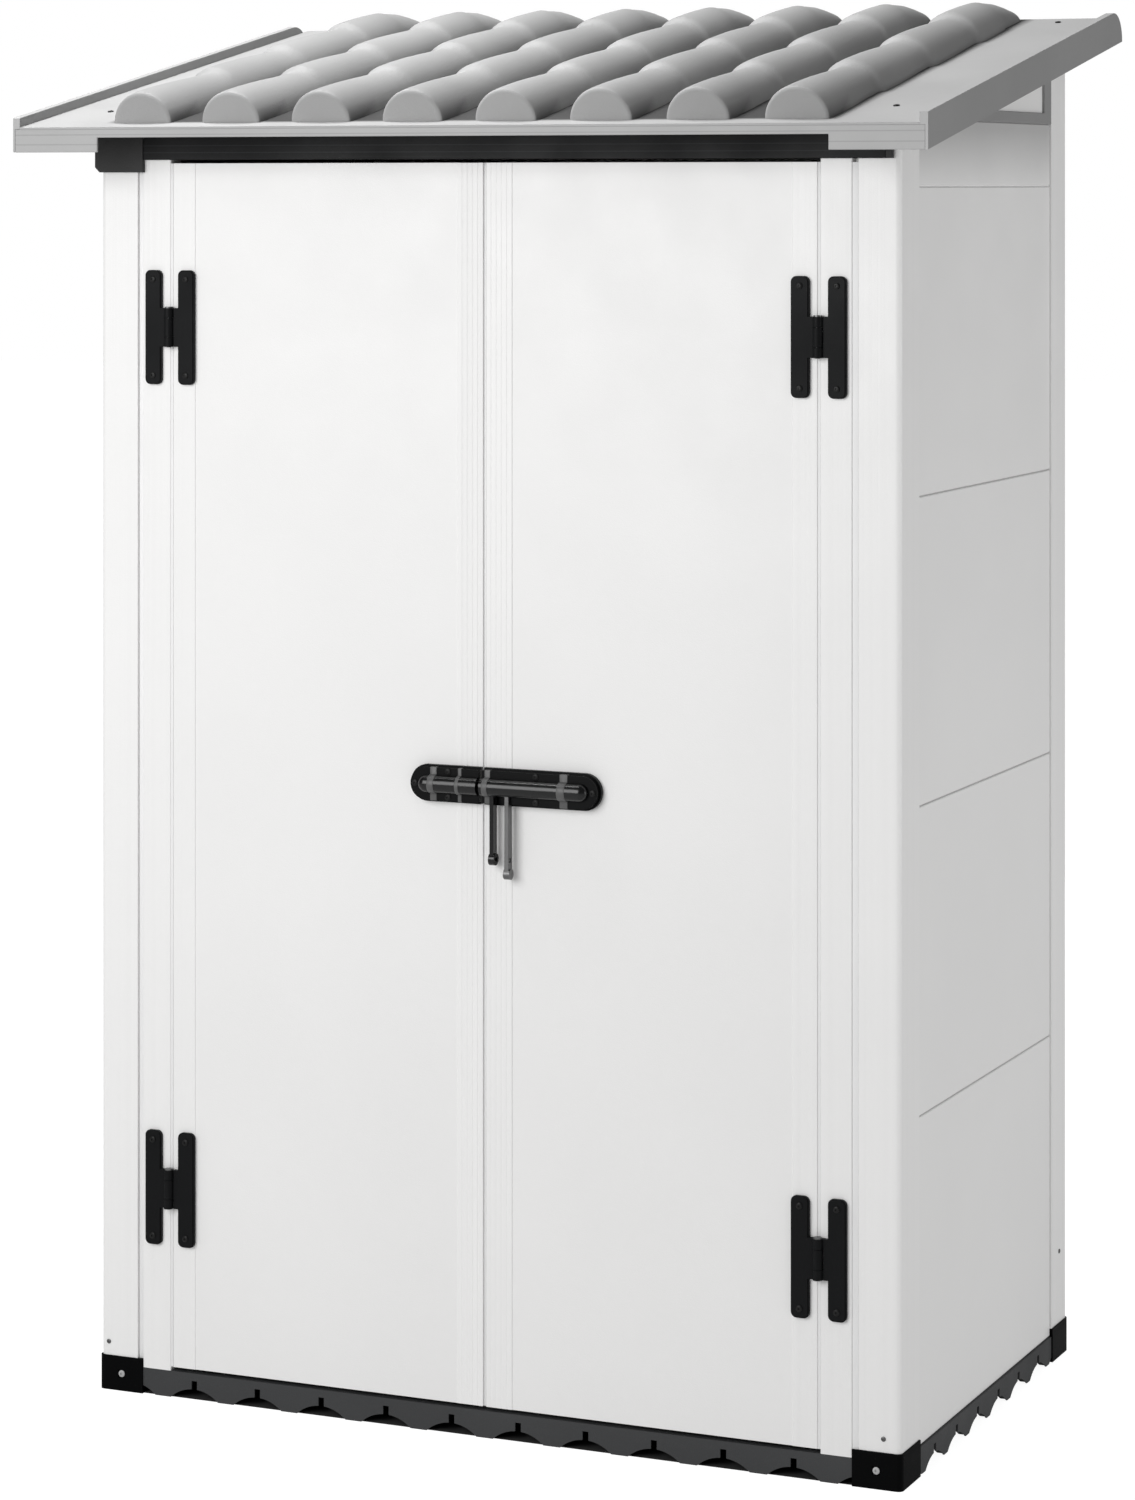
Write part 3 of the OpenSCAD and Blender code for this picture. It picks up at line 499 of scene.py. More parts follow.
def streaked(finish):
    """Adds faint upright streaks, as an extruded profile has them."""
    streaks = finish.noise(1.0, detail=3.0, stretch=STREAK_STRETCH)
    finish.relief(streaks, STREAK_HEIGHT)
    finish.tone(finish.ranged(streaks, STREAK_TONE, 1.0, 0.35, 0.6))


def lined(finish, heights, reach, share):
    """Draws thin level lines at these heights, as a share of the colour beside them."""
    finish.tone(finish.ranged(finish.near(heights, reach), 1.0, share, 0.0, 1.0))


def paint_shade_by_height(finish, low, high, share):
    """Paints shade into a finish: darker slowly from one height to another."""
    finish.tone(finish.ranged(finish.along("Z"), 1.0, share, low, high))


def paint_feet_shade(finish, shapes, height, share):
    """Paints shade on the tile rows up to this height over the sheet, just behind their front
    ends.
    """
    rise = math.tan(shapes.roof_slope)
    foot = ROOF_FRONT_Z - ROOF_FRONT_Y * rise + shapes.sheet_thickness
    above = finish.reckoned("MULTIPLY_ADD", finish.along("Y"), -rise, finish.along("Z"))
    tone = finish.ranged(above, share, 1.0, foot, foot + height)
    for low, high, start, end in FEET_FADES:
        fade = finish.ranged(
            finish.along("Y"), low, high, ROOF_FRONT_Y + start, ROOF_FRONT_Y + end)
        tone = finish.reckoned("MAXIMUM", tone, fade)
    finish.tone(tone)


def paint_gutter_shade(finish, share):
    """Paints shade on a roof sheet between its tile rows, behind their front ends."""
    start, end = GUTTER_START
    behind = finish.ranged(
        finish.along("Y"), 0.0, 1.0, ROOF_FRONT_Y + start, ROOF_FRONT_Y + end)
    aside = finish.reckoned("ABSOLUTE", finish.along("X"))
    among = finish.ranged(aside, 1.0, 0.0, *GUTTER_EDGE)
    both = finish.reckoned("MULTIPLY", behind, among)
    finish.tone(finish.ranged(both, 1.0, share, 0.0, 1.0))


class SHED_OT_finishes(bpy.types.Operator):
    """Build the shed's materials"""

    bl_idname = "shed.finishes"
    bl_label = "Build finishes"

    def execute(self, context):
        look = context.scene.shed_finishes
        shapes = context.scene.shed_shapes
        grain = look.grain_depth

        boards = {"roughness": 0.42, "mottling": 0.012, "grain": grain}
        resin("wall_resin", look.wall_colour, **boards)
        seamed = resin("board_resin", look.wall_colour, **boards)
        lined(seamed, BOARD_SEAMS, reach=0.0011, share=0.62)
        # Painted shade: the top boards darken towards the verges, as under their overhang
        high = resin("top_board_resin", look.wall_colour, **boards)
        paint_shade_by_height(high, BOARD_SEAMS[-1], ROOF_FRONT_Z, look.top_board_painted_shade)
        streaked(resin("frame_resin", look.frame_colour, 0.40, 0.010, grain))

        trims = {"roughness": 0.5, "mottling": 0.03, "grain": grain}
        resin("trim_resin", look.trim_colour, **trims)
        # Painted shade on the roof sheet between the tile rows
        paint_gutter_shade(resin("sheet_resin", look.trim_colour, **trims), share=0.10)
        fascia = resin("fascia_resin", look.fascia_colour, **trims)
        lined(fascia, FASCIA_LINES, reach=0.0008, share=0.8)
        resin("verge_resin", look.verge_colour, 0.5, 0.05, grain)
        tiles = resin("tile_resin", look.tile_colour, roughness=0.6, mottling=0.07,
            grain=2.5 * grain, grain_scale=420.0, specular=0.25)
        # Painted shade on the rows' feet, just behind their front ends
        paint_feet_shade(tiles, shapes, height=0.020, share=0.40)
        resin("base_resin", look.base_colour, roughness=0.6, mottling=0.10,
            grain=2.0 * grain, grain_scale=450.0, specular=0.3)

        black = look.black_colour
        matt = {"mottling": 0.12, "grain": grain}
        glossy = {"mottling": 0.12, "grain": 0.3 * grain}
        resin("black_resin", black, 0.5, specular=0.11, **matt)
        resin("block_resin", darker(black, 0.35), 0.55, specular=0.04, **matt)
        lintel = resin("lintel_resin", black, 0.5, specular=0.18, **matt)
        lined(lintel, LINTEL_LINES, reach=0.0008, share=2.6)
        resin("cap_resin", look.cap_colour, 0.5, specular=0.15, **matt)
        resin("latch_resin", darker(black, 0.5), 0.35, specular=0.12, **glossy)
        resin("barrel_resin", darker(black, 0.5), 0.2, **glossy)

        steel = FinishBuilder("steel", metallic=1.0)
        steel.mottle(look.steel_colour, 0.06, scale=40.0)
        steel.vary_roughness(25.0, 3.0, 0.34, 0.48)
        steel.relief(steel.noise(90.0, stretch=(1.0, 1.0, 14.0)), 0.00008)
        resin("black_screws", look.black_screw_colour, 0.4, 0.1, grain, specular=0.2)
        resin("light_plugs", look.plug_colour, 0.45, 0.05, grain)
        resin("strap_resin", look.strap_colour, 0.4, 0.06, grain)
        resin("seal_resin", look.seal_colour, 0.5, 0.02, grain)
        return {"FINISHED"}


# Finish and record slot by the start of a node's name; the first match counts
NODE_FINISHES = (
    ("floor_panel", "base_resin", "base_resin"),
    ("corner_blocks", "block_resin", "black_resin"),
    (("post_", "jamb_"), "frame_resin", "white_resin"),
    ("lintel_end", "cap_resin", "black_resin"),
    ("lintel", "lintel_resin", "black_resin"),
    (("rear_rail", "roof_rafter", "gable_panels"), "wall_resin", "white_resin"),
    # The top boards carry painted shade under the verges
    (("wall_left_board_top", "wall_right_board_top"), "top_board_resin", "white_resin"),
    ("wall_", "board_resin", "white_resin"),
    ("roof_", "trim_resin", "tile_resin"),
    (("gable_frame", "verge_"), "verge_resin", "trim_resin"),
    ("eaves_fascia", "fascia_resin", "trim_resin"),
    (("door_left_screws", "door_right_screws"), "black_screws", "steel"),
    (("door_left_panel", "door_right_panel"), "wall_resin", "white_resin"),
    ("door_", "frame_resin", "white_resin"),
    (("hinge_pins", "latch_bolt", "bolt_arm", "frame_screws"), "steel", "steel"),
    ("hinge_", "black_resin", "black_resin"),
    ("latch_", "latch_resin", "black_resin"),
)


def finish_of(node):
    for start, finish, slot in NODE_FINISHES:
        if node.startswith(start):
            return finish, slot
    raise RuntimeError(f"no finish is set for the node {node}")


class SHED_OT_node_finishes(bpy.types.Operator):
    """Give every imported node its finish"""

    bl_idname = "shed.node_finishes"
    bl_label = "Finish nodes"

    def execute(self, context):
        for name, node in frame["nodes"].items():
            node.data.materials.clear()
            node.data.materials.append(finish_named(finish_of(name)[0]))
        return {"FINISHED"}


# ---------------------------------------------------------------- moulded pieces with soft edges

# Nodes that get softened edges, by the start of their names, with the share of the edge rounding
SOFT_EDGED = (
    ("verge_", 1.2),
    (("post_", "lintel", "corner_blocks"), 1.0),
    (("jamb_", "door_left_hinge_stile", "door_right_hinge_stile"), 0.8),
    (("eaves_fascia", "gable_frame"), 0.8),
    (("hinge_frame_leaf", "hinge_door_leaf"), 0.7),
    (("door_left_panel", "door_right_panel", "latch_keeper", "latch_housing"), 0.6),
    ("bolt_arm", 0.5),
    (("door_left_meeting_stile", "door_right_meeting_stile"), 0.4),
)

# Faces that meet at less than this angle are one face
FLAT_DEGREES = 0.5

# The meeting stiles' fine grooves: where they start and end behind the face, and the share of
# their depth that is left
GROOVE_START, GROOVE_END, GROOVE_SHARE = 0.00005, 0.0015, 0.3

# What stands this far in front of the latch's face is its barrel
BARREL_START = 0.0005


def softened(node, rounding):
    """A copy of a node's mesh, merged and given rounded edges."""
    mesh = frame["nodes"][node].data.copy()
    piece = bpy.data.objects.new(node + "_moulded", mesh)
    mesh.name = piece.name
    bpy.context.scene.collection.objects.link(piece)
    edit(piece)
    bpy.ops.mesh.remove_doubles(threshold=SAME_POINT)
    bpy.ops.mesh.dissolve_limited(angle_limit=math.radians(FLAT_DEGREES))
    close_edit()
    round_edges(piece, rounding, above=38)
    smooth(piece, 40)
    add_modifier(piece, "WEIGHTED_NORMAL", keep_sharp=True)
    return piece


def shallow(piece, front):
    """Makes the fine grooves behind a stile's front shallower."""
    edit(piece)
    select(piece, "vertices", lambda p: front + GROOVE_START < p.y < front + GROOVE_END)
    bpy.ops.transform.resize(value=(1, GROOVE_SHARE, 1), center_override=(0, front, 0))
    close_edit()


def second_finish(piece, finish, test):
    """Gives the faces that pass the test a second finish."""
    piece.data.materials.append(finish_named(finish))
    for face in piece.data.polygons:
        if test(face):
            face.material_index = 1


# Faces that point up or forwards: on the verges they get a lighter finish than the sides, as
# painted light
def is_painted_lit_top_or_front(face):
    turn = face.normal
    return abs(turn.x) < 0.5 and (turn.z > 0 or turn.y < -0.5)


def is_barrel(face):
    return face.center.y < LATCH_FACE_Y - BARREL_START


class SHED_OT_moulded_edges(bpy.types.Operator):
    """Round the edges of the moulded frame, doors and ironwork"""

    bl_idname = "shed.moulded_edges"
    bl_label = "Round moulded edges"

    def execute(self, context):
        rounding = context.scene.shed_shapes.edge_rounding
        for node in sorted(frame["nodes"]):
            share = next((s for start, s in SOFT_EDGED if node.startswith(start)), None)
            if share is None:
                continue
            finish, slot = finish_of(node)
            piece = dress(softened(node, share * rounding), finish, BODY_OF[node], slot, node)
            if "meeting_stile" in node:
                shallow(piece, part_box(node)[0].y)
            if node.startswith("verge_"):
                # Painted light: the verges' tops and fronts get the lighter sheet colour, their
                # sides keep the darker verge colour
                second_finish(piece, "trim_resin", is_painted_lit_top_or_front)
            if node.startswith("latch_"):
                second_finish(piece, "barrel_resin", is_barrel)
        return {"FINISHED"}


# ---------------------------------------------------------------- roof

# Outline of one tile: share of its length, and share of the way from its thick radius to its
# thin one
TILE_STEPS = (
    (0.0, 0.55), (0.012, 0.22), (0.035, 0.06), (0.07, 0.0), (0.16, 0.0), (0.28, 0.06),
    (0.42, 0.2), (0.58, 0.45), (0.74, 0.74), (0.88, 0.93), (0.97, 1.0),
)

# Outline of a row's rear end: share of its length, and share of the way from the tiles' thin
# radius to the radius of the end
ROW_END_STEPS = ((0.0, 0.0), (0.2, 0.07), (0.5, 0.3), (0.75, 0.61), (1.0, 1.0))

# The tiles' outline and the sheet's openings stop this far before a row falls to its rear end
ROW_END_GAP = 0.01

# Steps round a tile row, the rounding of its two ends, and its lift over the sheet's underside
ROW_SEGMENTS = 36
ROW_ROUNDING = 0.0028
ROW_LIFT = 0.0002


def row_outline(shapes, length):
    """Points of a tile row's side outline, as distance along the roof and radius."""
    tile = length / shapes.tiles_in_row
    span = shapes.tile_radius - shapes.tile_thin_radius
    points = [
        ((index + along) * tile, shapes.tile_radius - share * span)
        for index in range(shapes.tiles_in_row)
        for along, share in TILE_STEPS
        if (index + along) * tile < length - shapes.row_end_length - ROW_END_GAP
    ]
    drop = shapes.tile_thin_radius - shapes.row_end_radius
    return points + [
        (length - (1 - along) * shapes.row_end_length, shapes.tile_thin_radius - share * drop)
        for along, share in ROW_END_STEPS
    ]


def tile_row(shapes):
    """The first tile row on the right: an outline spun over the roof, closed at both ends,
    hollowed and tilted."""
    slope = shapes.roof_slope
    length = (ROOF_DEPTH - shapes.row_set_back - shapes.row_rear_gap) / math.cos(slope)
    outline = row_outline(shapes, length)
    row = drawn("tile_row_1", [(radius, along, 0) for along, radius in outline])
    bpy.ops.mesh.select_all(action="SELECT")
    bpy.ops.mesh.spin(steps=ROW_SEGMENTS, angle=math.pi, center=(0, 0, 0), axis=(0, 1, 0))
    bpy.ops.mesh.select_all(action="SELECT")
    bpy.ops.mesh.remove_doubles(threshold=SAME_POINT)
    # The rear end gets lower but not narrower
    for along, radius in outline[1 - len(ROW_END_STEPS):]:
        select(row, "vertices", lambda p: abs(p.y - along) < SAME_POINT)
        bpy.ops.transform.resize(
            value=(shapes.tile_thin_radius / radius, 1, 1), center_override=(0, 0, 0))
    for end in (0.0, length):
        select(row, "vertices", lambda p: abs(p.y - end) < SAME_POINT)
        bpy.ops.mesh.edge_face_add()
    turn_outwards()
    select(row, "edges", lambda p: min(abs(p.y), abs(p.y - length)) < SAME_POINT)
    bpy.ops.mesh.bevel(offset=ROW_ROUNDING, segments=3, affect="EDGES", clamp_overlap=True)
    close_edit()
    add_modifier(row, "SOLIDIFY", thickness=shapes.sheet_thickness, offset=-1.0,
        use_even_offset=False)
    row.rotation_euler = (slope, 0, 0)
    row.location = (
        0.5 * shapes.row_pitch,
        ROOF_FRONT_Y + shapes.row_set_back,
        ROOF_FRONT_Z + shapes.row_set_back * math.tan(slope) + ROW_LIFT,
    )
    settle(row)
    smooth(row, 50)
    return row


class SHED_OT_tile_rows(bpy.types.Operator):
    """Model one tile row and copy it over the roof"""

    bl_idname = "shed.tile_rows"
    bl_label = "Add tile rows"

    def execute(self, context):
        shapes = context.scene.shed_shapes
        half = shapes.rows_in_half
        rows = [tile_row(shapes)]
        for index in range(1, 2 * half):
            steps = index if index < half else half - index - 1
            name = f"tile_row_{index + 1}"
            rows.append(twin(rows[0], name, (steps * shapes.row_pitch, 0, 0)))
        for index, row in enumerate(rows):
            node = "roof_right" if index < half else "roof_left"
            dress(row, "tile_resin", "shed", "tile_resin", node)
        return {"FINISHED"}


def roof_sheet(shapes, side):
    """Half of the roof sheet, cut open below its tile rows and given its thickness."""
    slope = shapes.roof_slope
    bpy.ops.mesh.primitive_plane_add(size=1.0)
    sheet = bpy.context.object
    sheet.name = sheet.data.name = "roof_sheet_right" if side > 0 else "roof_sheet_left"
    sheet.dimensions = (ROOF_HALF_WIDTH, ROOF_DEPTH / math.cos(slope), 0)
    settle(sheet)
    sheet.rotation_euler = (slope, 0, 0)
    sheet.location = (
        side * ROOF_HALF_WIDTH / 2,
        ROOF_FRONT_Y + ROOF_DEPTH / 2,
        ROOF_FRONT_Z + ROOF_DEPTH / 2 * math.tan(slope),
    )
    settle(sheet)
    hollow = shapes.tile_thin_radius - shapes.sheet_thickness
    middles = [side * (index + 0.5) * shapes.row_pitch for index in range(shapes.rows_in_half)]
    front = ROOF_FRONT_Y + shapes.row_set_back + shapes.sheet_thickness
    rear = (ROOF_FRONT_Y + ROOF_DEPTH
        - shapes.row_rear_gap - shapes.row_end_length - ROW_END_GAP)
    cuts = [((x + s * hollow, 0, 0), (1, 0, 0)) for x in middles for s in (-1, 1)]
    cuts += [((0, y, 0), (0, 1, 0)) for y in (front, rear)]
    edit(sheet)
    for place, normal in cuts:
        bpy.ops.mesh.select_all(action="SELECT")
        bpy.ops.mesh.bisect(plane_co=place, plane_no=normal)
    select(sheet, "polygons", lambda p: front - SAME_PLACE < p.y < rear + SAME_PLACE
        and any(abs(p.x - x) < hollow + SAME_PLACE for x in middles))
    bpy.ops.mesh.delete(type="FACE")
    turn_outwards()
    close_edit()
    add_modifier(sheet, "SOLIDIFY", thickness=shapes.sheet_thickness, offset=1.0)
    return sheet


class SHED_OT_roof_sheets(bpy.types.Operator):
    """Model the two halves of the roof sheet"""

    bl_idname = "shed.roof_sheets"
    bl_label = "Add roof sheets"

    def execute(self, context):
        for side, node in ((-1, "roof_left"), (1, "roof_right")):
            sheet = roof_sheet(context.scene.shed_shapes, side)
            # The sheet's finish paints shade between the tile rows
            dress(sheet, "sheet_resin", "shed", "tile_resin", node)
        return {"FINISHED"}


# ---------------------------------------------------------------- straps and seals

# Straps over the latch: middle, width, and the body that each rides on
STRAPS = (
    (-0.073, 0.010, "door_left"),
    (-0.032, 0.0055, "door_left"),
    (0.011, 0.0085, "door_right"),
    (0.128, 0.012, "door_right"),
)

# Half the height of the latch's plate, and where the straps end behind its face
PLATE_HALF_HEIGHT = 0.023
STRAP_END_Y = -0.335

# The straps: how far they stand proud, thickness, rounding, and steps round the barrel
STRAP_STAND, STRAP_THICKNESS, STRAP_ROUNDING, STRAP_SEGMENTS = 0.0005, 0.0014, 0.0003, 20


def strap_outline(stand):
    """A strap's outline from top to bottom, as Y and Z: the latch's, but this far proud."""
    edge, face = PLATE_HALF_HEIGHT + stand, LATCH_FACE_Y - stand
    radius = BARREL_RADIUS + stand
    start = math.asin(stand / radius)
    step = (math.pi - 2 * start) / STRAP_SEGMENTS
    arc = [start + index * step for index in range(STRAP_SEGMENTS + 1)]
    return (
        [(STRAP_END_Y, edge), (face, edge)]
        + [(LATCH_FACE_Y - radius * math.sin(a), radius * math.cos(a)) for a in arc]
        + [(face, -edge), (STRAP_END_Y, -edge)]
    )


def latch_strap(name, middle, width):
    """A strap bent over the latch: its outline is drawn point by point, widened and thickened."""
    side = middle - width / 2
    strap = drawn(name, [(side, y, LATCH_Z + z) for y, z in strap_outline(STRAP_STAND)])
    bpy.ops.mesh.select_all(action="SELECT")
    extrude((width, 0, 0))
    turn_outwards()
    close_edit()
    # An open band has no outside, so the turn that Blender chose may be the wrong one
    if sum(face.normal.y * face.area for face in strap.data.polygons) > 0:
        edit(strap)
        bpy.ops.mesh.flip_normals()
        close_edit()
    add_modifier(strap, "SOLIDIFY", thickness=STRAP_THICKNESS, offset=-1.0)
    round_edges(strap, STRAP_ROUNDING, above=50)
    smooth(strap, 40)
    return strap


class SHED_OT_latch_straps(bpy.types.Operator):
    """Add the straps over the latch"""

    bl_idname = "shed.latch_straps"
    bl_label = "Add latch straps"

    def execute(self, context):
        for index, (middle, width, body) in enumerate(STRAPS):
            strap = latch_strap(f"latch_strap_{index + 1}", middle, width)
            dress(strap, "strap_resin", body, "black_resin")
        return {"FINISHED"}


# Soft strips in the doors' gaps and in the posts' grooves: name, lower and higher X, front,
# depth, and the body that each rides on
STRIPS = (
    ("lip_seal_left", -0.504, -0.5003, -0.3284, 0.010, "shed"),
    ("lip_seal_right", 0.5003, 0.504, -0.3284, 0.010, "shed"),
    ("lip_seal_middle", -0.0025, 0.0008, -0.3260, 0.008, "door_left"),
    ("groove_strip_left", -0.5588, -0.5502, -0.3250, 0.005, "shed"),
    ("groove_strip_right", 0.5502, 0.5588, -0.3282, 0.0085, "shed"),
)
STRIP_ROUNDING = 0.0004


def long_strip(name, low, high, front, depth):
    """A strip as high as the doors, with a rounded front."""
    foot, head = (corner.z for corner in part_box("door_left_panel"))
    bpy.ops.mesh.primitive_cube_add(
        size=1.0, location=((low + high) / 2, front + depth / 2, (foot + head) / 2))
    strip = bpy.context.object
    strip.name = strip.data.name = name
    strip.dimensions = (high - low, depth, head - foot)
    settle(strip)
    edit(strip)
    select(strip, "edges", lambda p: p.y < front + SAME_PLACE)
    bpy.ops.mesh.bevel(offset=STRIP_ROUNDING, segments=2, affect="EDGES", clamp_overlap=True)
    close_edit()
    smooth(strip, 40)
    return strip


class SHED_OT_long_strips(bpy.types.Operator):
    """Add the lip seals of the doors and the strips in the posts' grooves"""

    bl_idname = "shed.long_strips"
    bl_label = "Add seals and strips"

    def execute(self, context):
        for *sizes, body in STRIPS:
            dress(long_strip(*sizes), "seal_resin", body, "white_resin")
        return {"FINISHED"}


# ---------------------------------------------------------------- small fasteners

# Turns of a screw that faces up, so that it faces forwards, backwards, right or left
FRONT, REAR = (math.pi / 2, 0, 0), (-math.pi / 2, 0, 0)
RIGHT, LEFT = (0, math.pi / 2, 0), (0, -math.pi / 2, 0)

# Screws in the hinges: distance from the middle in the frame and the doors, and heights
FRAME_LEAF_X, DOOR_LEAF_X = 0.530, 0.476
HINGE_SCREW_HEIGHTS = (0.23375, 0.37325, 1.48425, 1.62375)

# Screws in the latch's two halves, as X and Z
KEEPER_SCREWS = ((-0.102, 0.917), (-0.05025, 0.935), (-0.05025, 0.899))
HOUSING_SCREWS = ((0.172, 0.917), (0.08525, 0.935), (0.08525, 0.899))

# Plugs in the corner blocks: distance from the middle, height, and the faces with their turns
PLUG_X, PLUG_Z = 0.585, 0.025
PLUG_FACES = ((-0.3295, FRONT), (0.4155, REAR))

# Screws in the posts, with their turns
POST_SCREWS = (
    ((-0.607, POST_FACE_Y, 0.0698), FRONT),
    ((0.595, POST_FACE_Y, 0.0686), FRONT),
    ((0.620, 0.379, 0.1573), RIGHT),
    ((-0.620, 0.379, 0.1573), LEFT),
)

# Screws in the roof: distance from the middle, and the two places along it
ROOF_SCREW_X = 0.610
ROOF_SCREW_Y = (-0.319, 0.406)

# A screw's head: radius and height of its rim, and width and rise of the steps above the rim
HEAD_RADIUS, RIM_HEIGHT = 0.0045, 0.0012
HEAD_STEPS = ((0.0010, 0.0006), (0.0014, 0.0002))

# Width of the edge round a screw's recess and the recess's depth, and the same for the shank
RECESS_EDGE, RECESS_DEPTH = 0.0004, 0.0013
SHANK_EDGE, SHANK_LENGTH = 0.0025, 0.0115


def hinge_screws(x):
    return [((x, HINGE_FACE_Y, z), FRONT) for z in HINGE_SCREW_HEIGHTS]


def latch_screws(places):
    return [((x, LATCH_FACE_Y, z), FRONT) for x, z in places]


def block_plugs():
    return [((x, y, PLUG_Z), turn) for x in (-PLUG_X, PLUG_X) for y, turn in PLUG_FACES]


def roof_screws(shapes):
    base, rise = ROOF_FRONT_Z + shapes.sheet_thickness, math.tan(shapes.roof_slope)
    return [
        ((x, y, base + (y - ROOF_FRONT_Y) * rise), (shapes.roof_slope, 0, 0))
        for x in (-ROOF_SCREW_X, ROOF_SCREW_X) for y in ROOF_SCREW_Y
    ]


def screw_groups(shapes):
    """Each group of screws: name, body, finish, size, places with turns, and the nodes that it
    stands for."""
    keeper = hinge_screws(-DOOR_LEAF_X) + latch_screws(KEEPER_SCREWS)
    housing = hinge_screws(DOOR_LEAF_X) + latch_screws(HOUSING_SCREWS)
    frame_node = ("frame_screws",)
    return (
        ("hinge_screws_left_frame", "shed", "black_screws", 1.0,
            hinge_screws(-FRAME_LEAF_X), frame_node),
        ("hinge_screws_right_frame", "shed", "black_screws", 1.0,
            hinge_screws(FRAME_LEAF_X), frame_node),
        ("block_plugs", "shed", "light_plugs", 1.1, block_plugs(), frame_node),
        ("roof_screws", "shed", "black_screws", 1.0, roof_screws(shapes), frame_node),
        ("keeper_screws", "door_left", "black_screws", 1.0, keeper, ("door_left_screws",)),
        ("housing_screws", "door_right", "black_screws", 1.0, housing, ("door_right_screws",)),
        ("post_screws", "shed", "steel", 0.75, POST_SCREWS, ()),
    )


def pan_head_screw():
    """A pan-head screw with a round recess and its shank, facing up at the origin."""
    bpy.ops.mesh.primitive_cylinder_add(
        vertices=24, radius=HEAD_RADIUS, depth=RIM_HEIGHT, location=(0, 0, RIM_HEIGHT / 2))
    screw = bpy.context.object
    settle(screw)
    bpy.ops.object.mode_set(mode="EDIT")
    select(screw, "polygons", lambda p: p.z > RIM_HEIGHT - SAME_PLACE)
    for width, rise in HEAD_STEPS:
        bpy.ops.mesh.inset(thickness=width)
        bpy.ops.transform.translate(value=(0, 0, rise))
    bpy.ops.mesh.inset(thickness=RECESS_EDGE)
    extrude((0, 0, -RECESS_DEPTH))
    select(screw, "polygons", lambda p: p.z < SAME_PLACE)
    bpy.ops.mesh.inset(thickness=SHANK_EDGE)
    extrude((0, 0, -SHANK_LENGTH))
    close_edit()
    smooth(screw, 30)
    return screw


def joined(pieces, name):
    """Joins pieces into one with this name."""
    deselect()
    for piece in pieces:
        piece.select_set(True)
    bpy.context.view_layer.objects.active = pieces[0]
    bpy.ops.object.join()
    pieces[0].name = pieces[0].data.name = name
    return pieces[0]


class SHED_OT_screws(bpy.types.Operator):
    """Model one screw and set it in the hinges, latch, blocks, posts and roof"""

    bl_idname = "shed.screws"
    bl_label = "Add screws"

    def execute(self, context):
        screw = pan_head_screw()
        groups = screw_groups(context.scene.shed_shapes)
        for name, body, finish, size, places, nodes in groups:
            copies = []
            for place, turn in places:
                copy = twin(screw, name)
                copy.scale = (size, size, size)
                copy.rotation_euler = turn
                copy.location = place
                settle(copy)
                copies.append(copy)
            dress(joined(copies, name), finish, body, "steel", *nodes)
        bpy.data.objects.remove(screw)
        return {"FINISHED"}


# ---------------------------------------------------------------- studio

# Lights: name, place, the point that it faces, size, and the setting that holds its power
LIGHTS = (
    ("key_light", (-1.15, -3.75, 2.25), (0.0, 0.0, 1.1), 2.4, "key_power"),
    ("roof_light", (-0.8, -0.3, 3.8), (0.0, 0.0, 1.95), 1.0, "roof_power"),
    ("side_light", (4.2, 0.2, 1.15), (0.6, 0.0, 1.1), 1.6, "side_power"),
    ("rear_light", (-0.8, 4.4, 1.1), (-0.3, 0.4, 1.0), 2.2, "rear_power"),
)

# A dark floor in the hollow below the shed, painted shade where the glowing floor would be: middle
# and size
BELOW_PLACE = (0, 0.0435, 0.0004)
BELOW_SIZE = (1.196, 0.741, 0)

# Reflections show this share of the even light
SKY_IN_GLOSS = 0.45

WHITE = (1.0, 1.0, 1.0, 1.0)


def stage_plane(name, finish, size, place=(0, 0, 0)):
    bpy.ops.mesh.primitive_plane_add(size=size, location=place)
    plane = bpy.context.object
    plane.name = name
    plane.data.materials.append(finish.material)
    return plane


def floor_finish(name, level):
    """A matt, faintly mottled grey for the studio's floor."""
    finish = FinishBuilder(name, 0.9, specular=0.1)
    finish.mottle((level, level, level), 0.01, scale=0.8)
    return finish


def studio_floor(studio):
    """The pale floor, and a dark one in the hollow below the shed as painted shade."""
    pale = floor_finish("pale_floor", 0.25)
    pale.shader.inputs["Emission Color"].default_value = WHITE
    seen = pale.nodes.new("ShaderNodeLightPath").outputs["Is Camera Ray"]
    glow = pale.ranged(seen, studio.floor_glow, studio.floor_white, 0.0, 1.0)
    pale.links.new(glow, pale.shader.inputs["Emission Strength"])
    stage_plane("studio_floor", pale, 60.0)
    painted_shade_sheet = floor_finish("shaded_floor", 0.05)
    stage_plane("studio_floor_below", painted_shade_sheet, 1.0, BELOW_PLACE).dimensions = BELOW_SIZE


def photo_camera(studio):
    """A camera that stands and looks as the photograph's did."""
    bpy.ops.object.camera_add(
        location=studio.camera_place, rotation=(math.pi / 2, 0, studio.camera_turn))
    camera = bpy.context.object
    camera.name = "photo_camera"
    camera.data.sensor_fit = "VERTICAL"
    camera.data.sensor_height = 36.0
    camera.data.lens = studio.focal_length
    camera.data.shift_x, camera.data.shift_y = studio.shift
    camera.data.clip_end = 100.0
    return camera


def soft_light(name, place, target, size, power):
    """A square light that faces its target."""
    bpy.ops.object.light_add(type="AREA", location=place)
    lamp = bpy.context.object
    lamp.name = name
    aim = Vector(target) - Vector(place)
    lamp.rotation_euler = aim.to_track_quat("-Z", "Y").to_euler()
    lamp.data.shape = "SQUARE"
    lamp.data.size = size
    lamp.data.energy = power


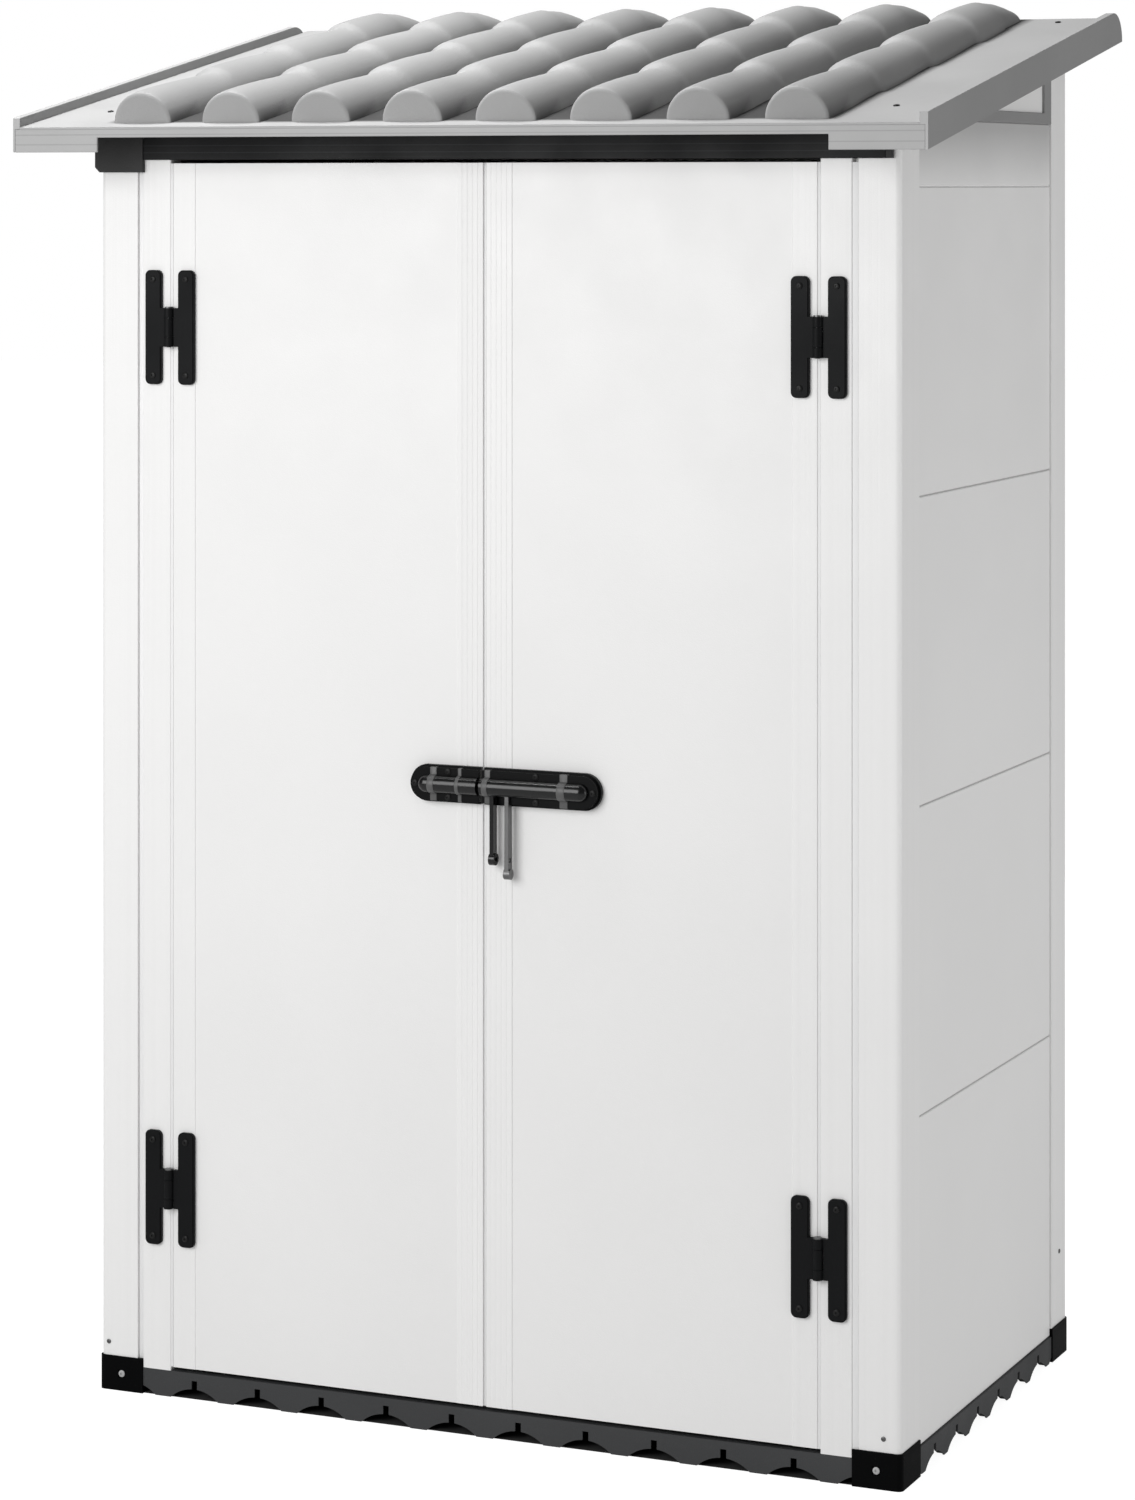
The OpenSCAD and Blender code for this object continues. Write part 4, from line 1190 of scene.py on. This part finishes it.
def even_light(strength):
    """Even light from all round, weaker in reflections, behind a white background."""
    world = bpy.data.worlds.new("studio_light")
    world.use_nodes = True
    nodes, links = world.node_tree.nodes, world.node_tree.links
    nodes.clear()
    path = nodes.new("ShaderNodeLightPath")
    share = nodes.new("ShaderNodeMapRange")
    share.inputs["To Min"].default_value = strength
    share.inputs["To Max"].default_value = SKY_IN_GLOSS * strength
    links.new(path.outputs["Is Glossy Ray"], share.inputs["Value"])
    light = nodes.new("ShaderNodeBackground")
    light.inputs["Color"].default_value = WHITE
    links.new(share.outputs["Result"], light.inputs["Strength"])
    white = nodes.new("ShaderNodeBackground")
    white.inputs["Color"].default_value = WHITE
    white.inputs["Strength"].default_value = 1.0
    mix = nodes.new("ShaderNodeMixShader")
    links.new(path.outputs["Is Camera Ray"], mix.inputs[0])
    links.new(light.outputs[0], mix.inputs[1])
    links.new(white.outputs[0], mix.inputs[2])
    output = nodes.new("ShaderNodeOutputWorld")
    links.new(mix.outputs[0], output.inputs["Surface"])
    return world


class SHED_OT_studio(bpy.types.Operator):
    """Set up the pale floor, the lights and the camera"""

    bl_idname = "shed.studio"
    bl_label = "Set up studio"

    def execute(self, context):
        studio = context.scene.shed_studio
        context.scene.view_settings.view_transform = "Standard"
        studio_floor(studio)
        context.scene.camera = photo_camera(studio)
        for name, place, target, size, power in LIGHTS:
            soft_light(name, place, target, size, getattr(studio, power))
        context.scene.world = even_light(studio.sky_strength)
        return {"FINISHED"}


# ---------------------------------------------------------------- add-on

OPERATORS = (
    SHED_OT_studio,
    SHED_OT_finishes,
    SHED_OT_node_finishes,
    SHED_OT_moulded_edges,
    SHED_OT_tile_rows,
    SHED_OT_roof_sheets,
    SHED_OT_latch_straps,
    SHED_OT_long_strips,
    SHED_OT_screws,
)


class SHED_PT_panel(bpy.types.Panel):
    """Lists the settings and the steps that dress the shed"""

    bl_label = "Storage shed"
    bl_idname = "SHED_PT_panel"
    bl_space_type = "VIEW_3D"
    bl_region_type = "UI"
    bl_category = "Shed"

    def draw(self, context):
        for name, group in SETTINGS:
            box = self.layout.box()
            for setting in group.__annotations__:
                box.prop(getattr(context.scene, name), setting)
        for operator in OPERATORS:
            self.layout.operator(operator.bl_idname)


def register():
    for name, group in SETTINGS:
        bpy.utils.register_class(group)
        setattr(bpy.types.Scene, name, bpy.props.PointerProperty(type=group))
    for operator in OPERATORS:
        bpy.utils.register_class(operator)
    bpy.utils.register_class(SHED_PT_panel)


def unregister():
    bpy.utils.unregister_class(SHED_PT_panel)
    for operator in reversed(OPERATORS):
        bpy.utils.unregister_class(operator)
    for name, group in reversed(SETTINGS):
        delattr(bpy.types.Scene, name)
        bpy.utils.unregister_class(group)


def main():
    register()
    for operator in OPERATORS:
        group, name = operator.bl_idname.split(".")
        deselect()
        getattr(getattr(bpy.ops, group), name)()
    deselect()


if __name__ == "__main__":
    main()
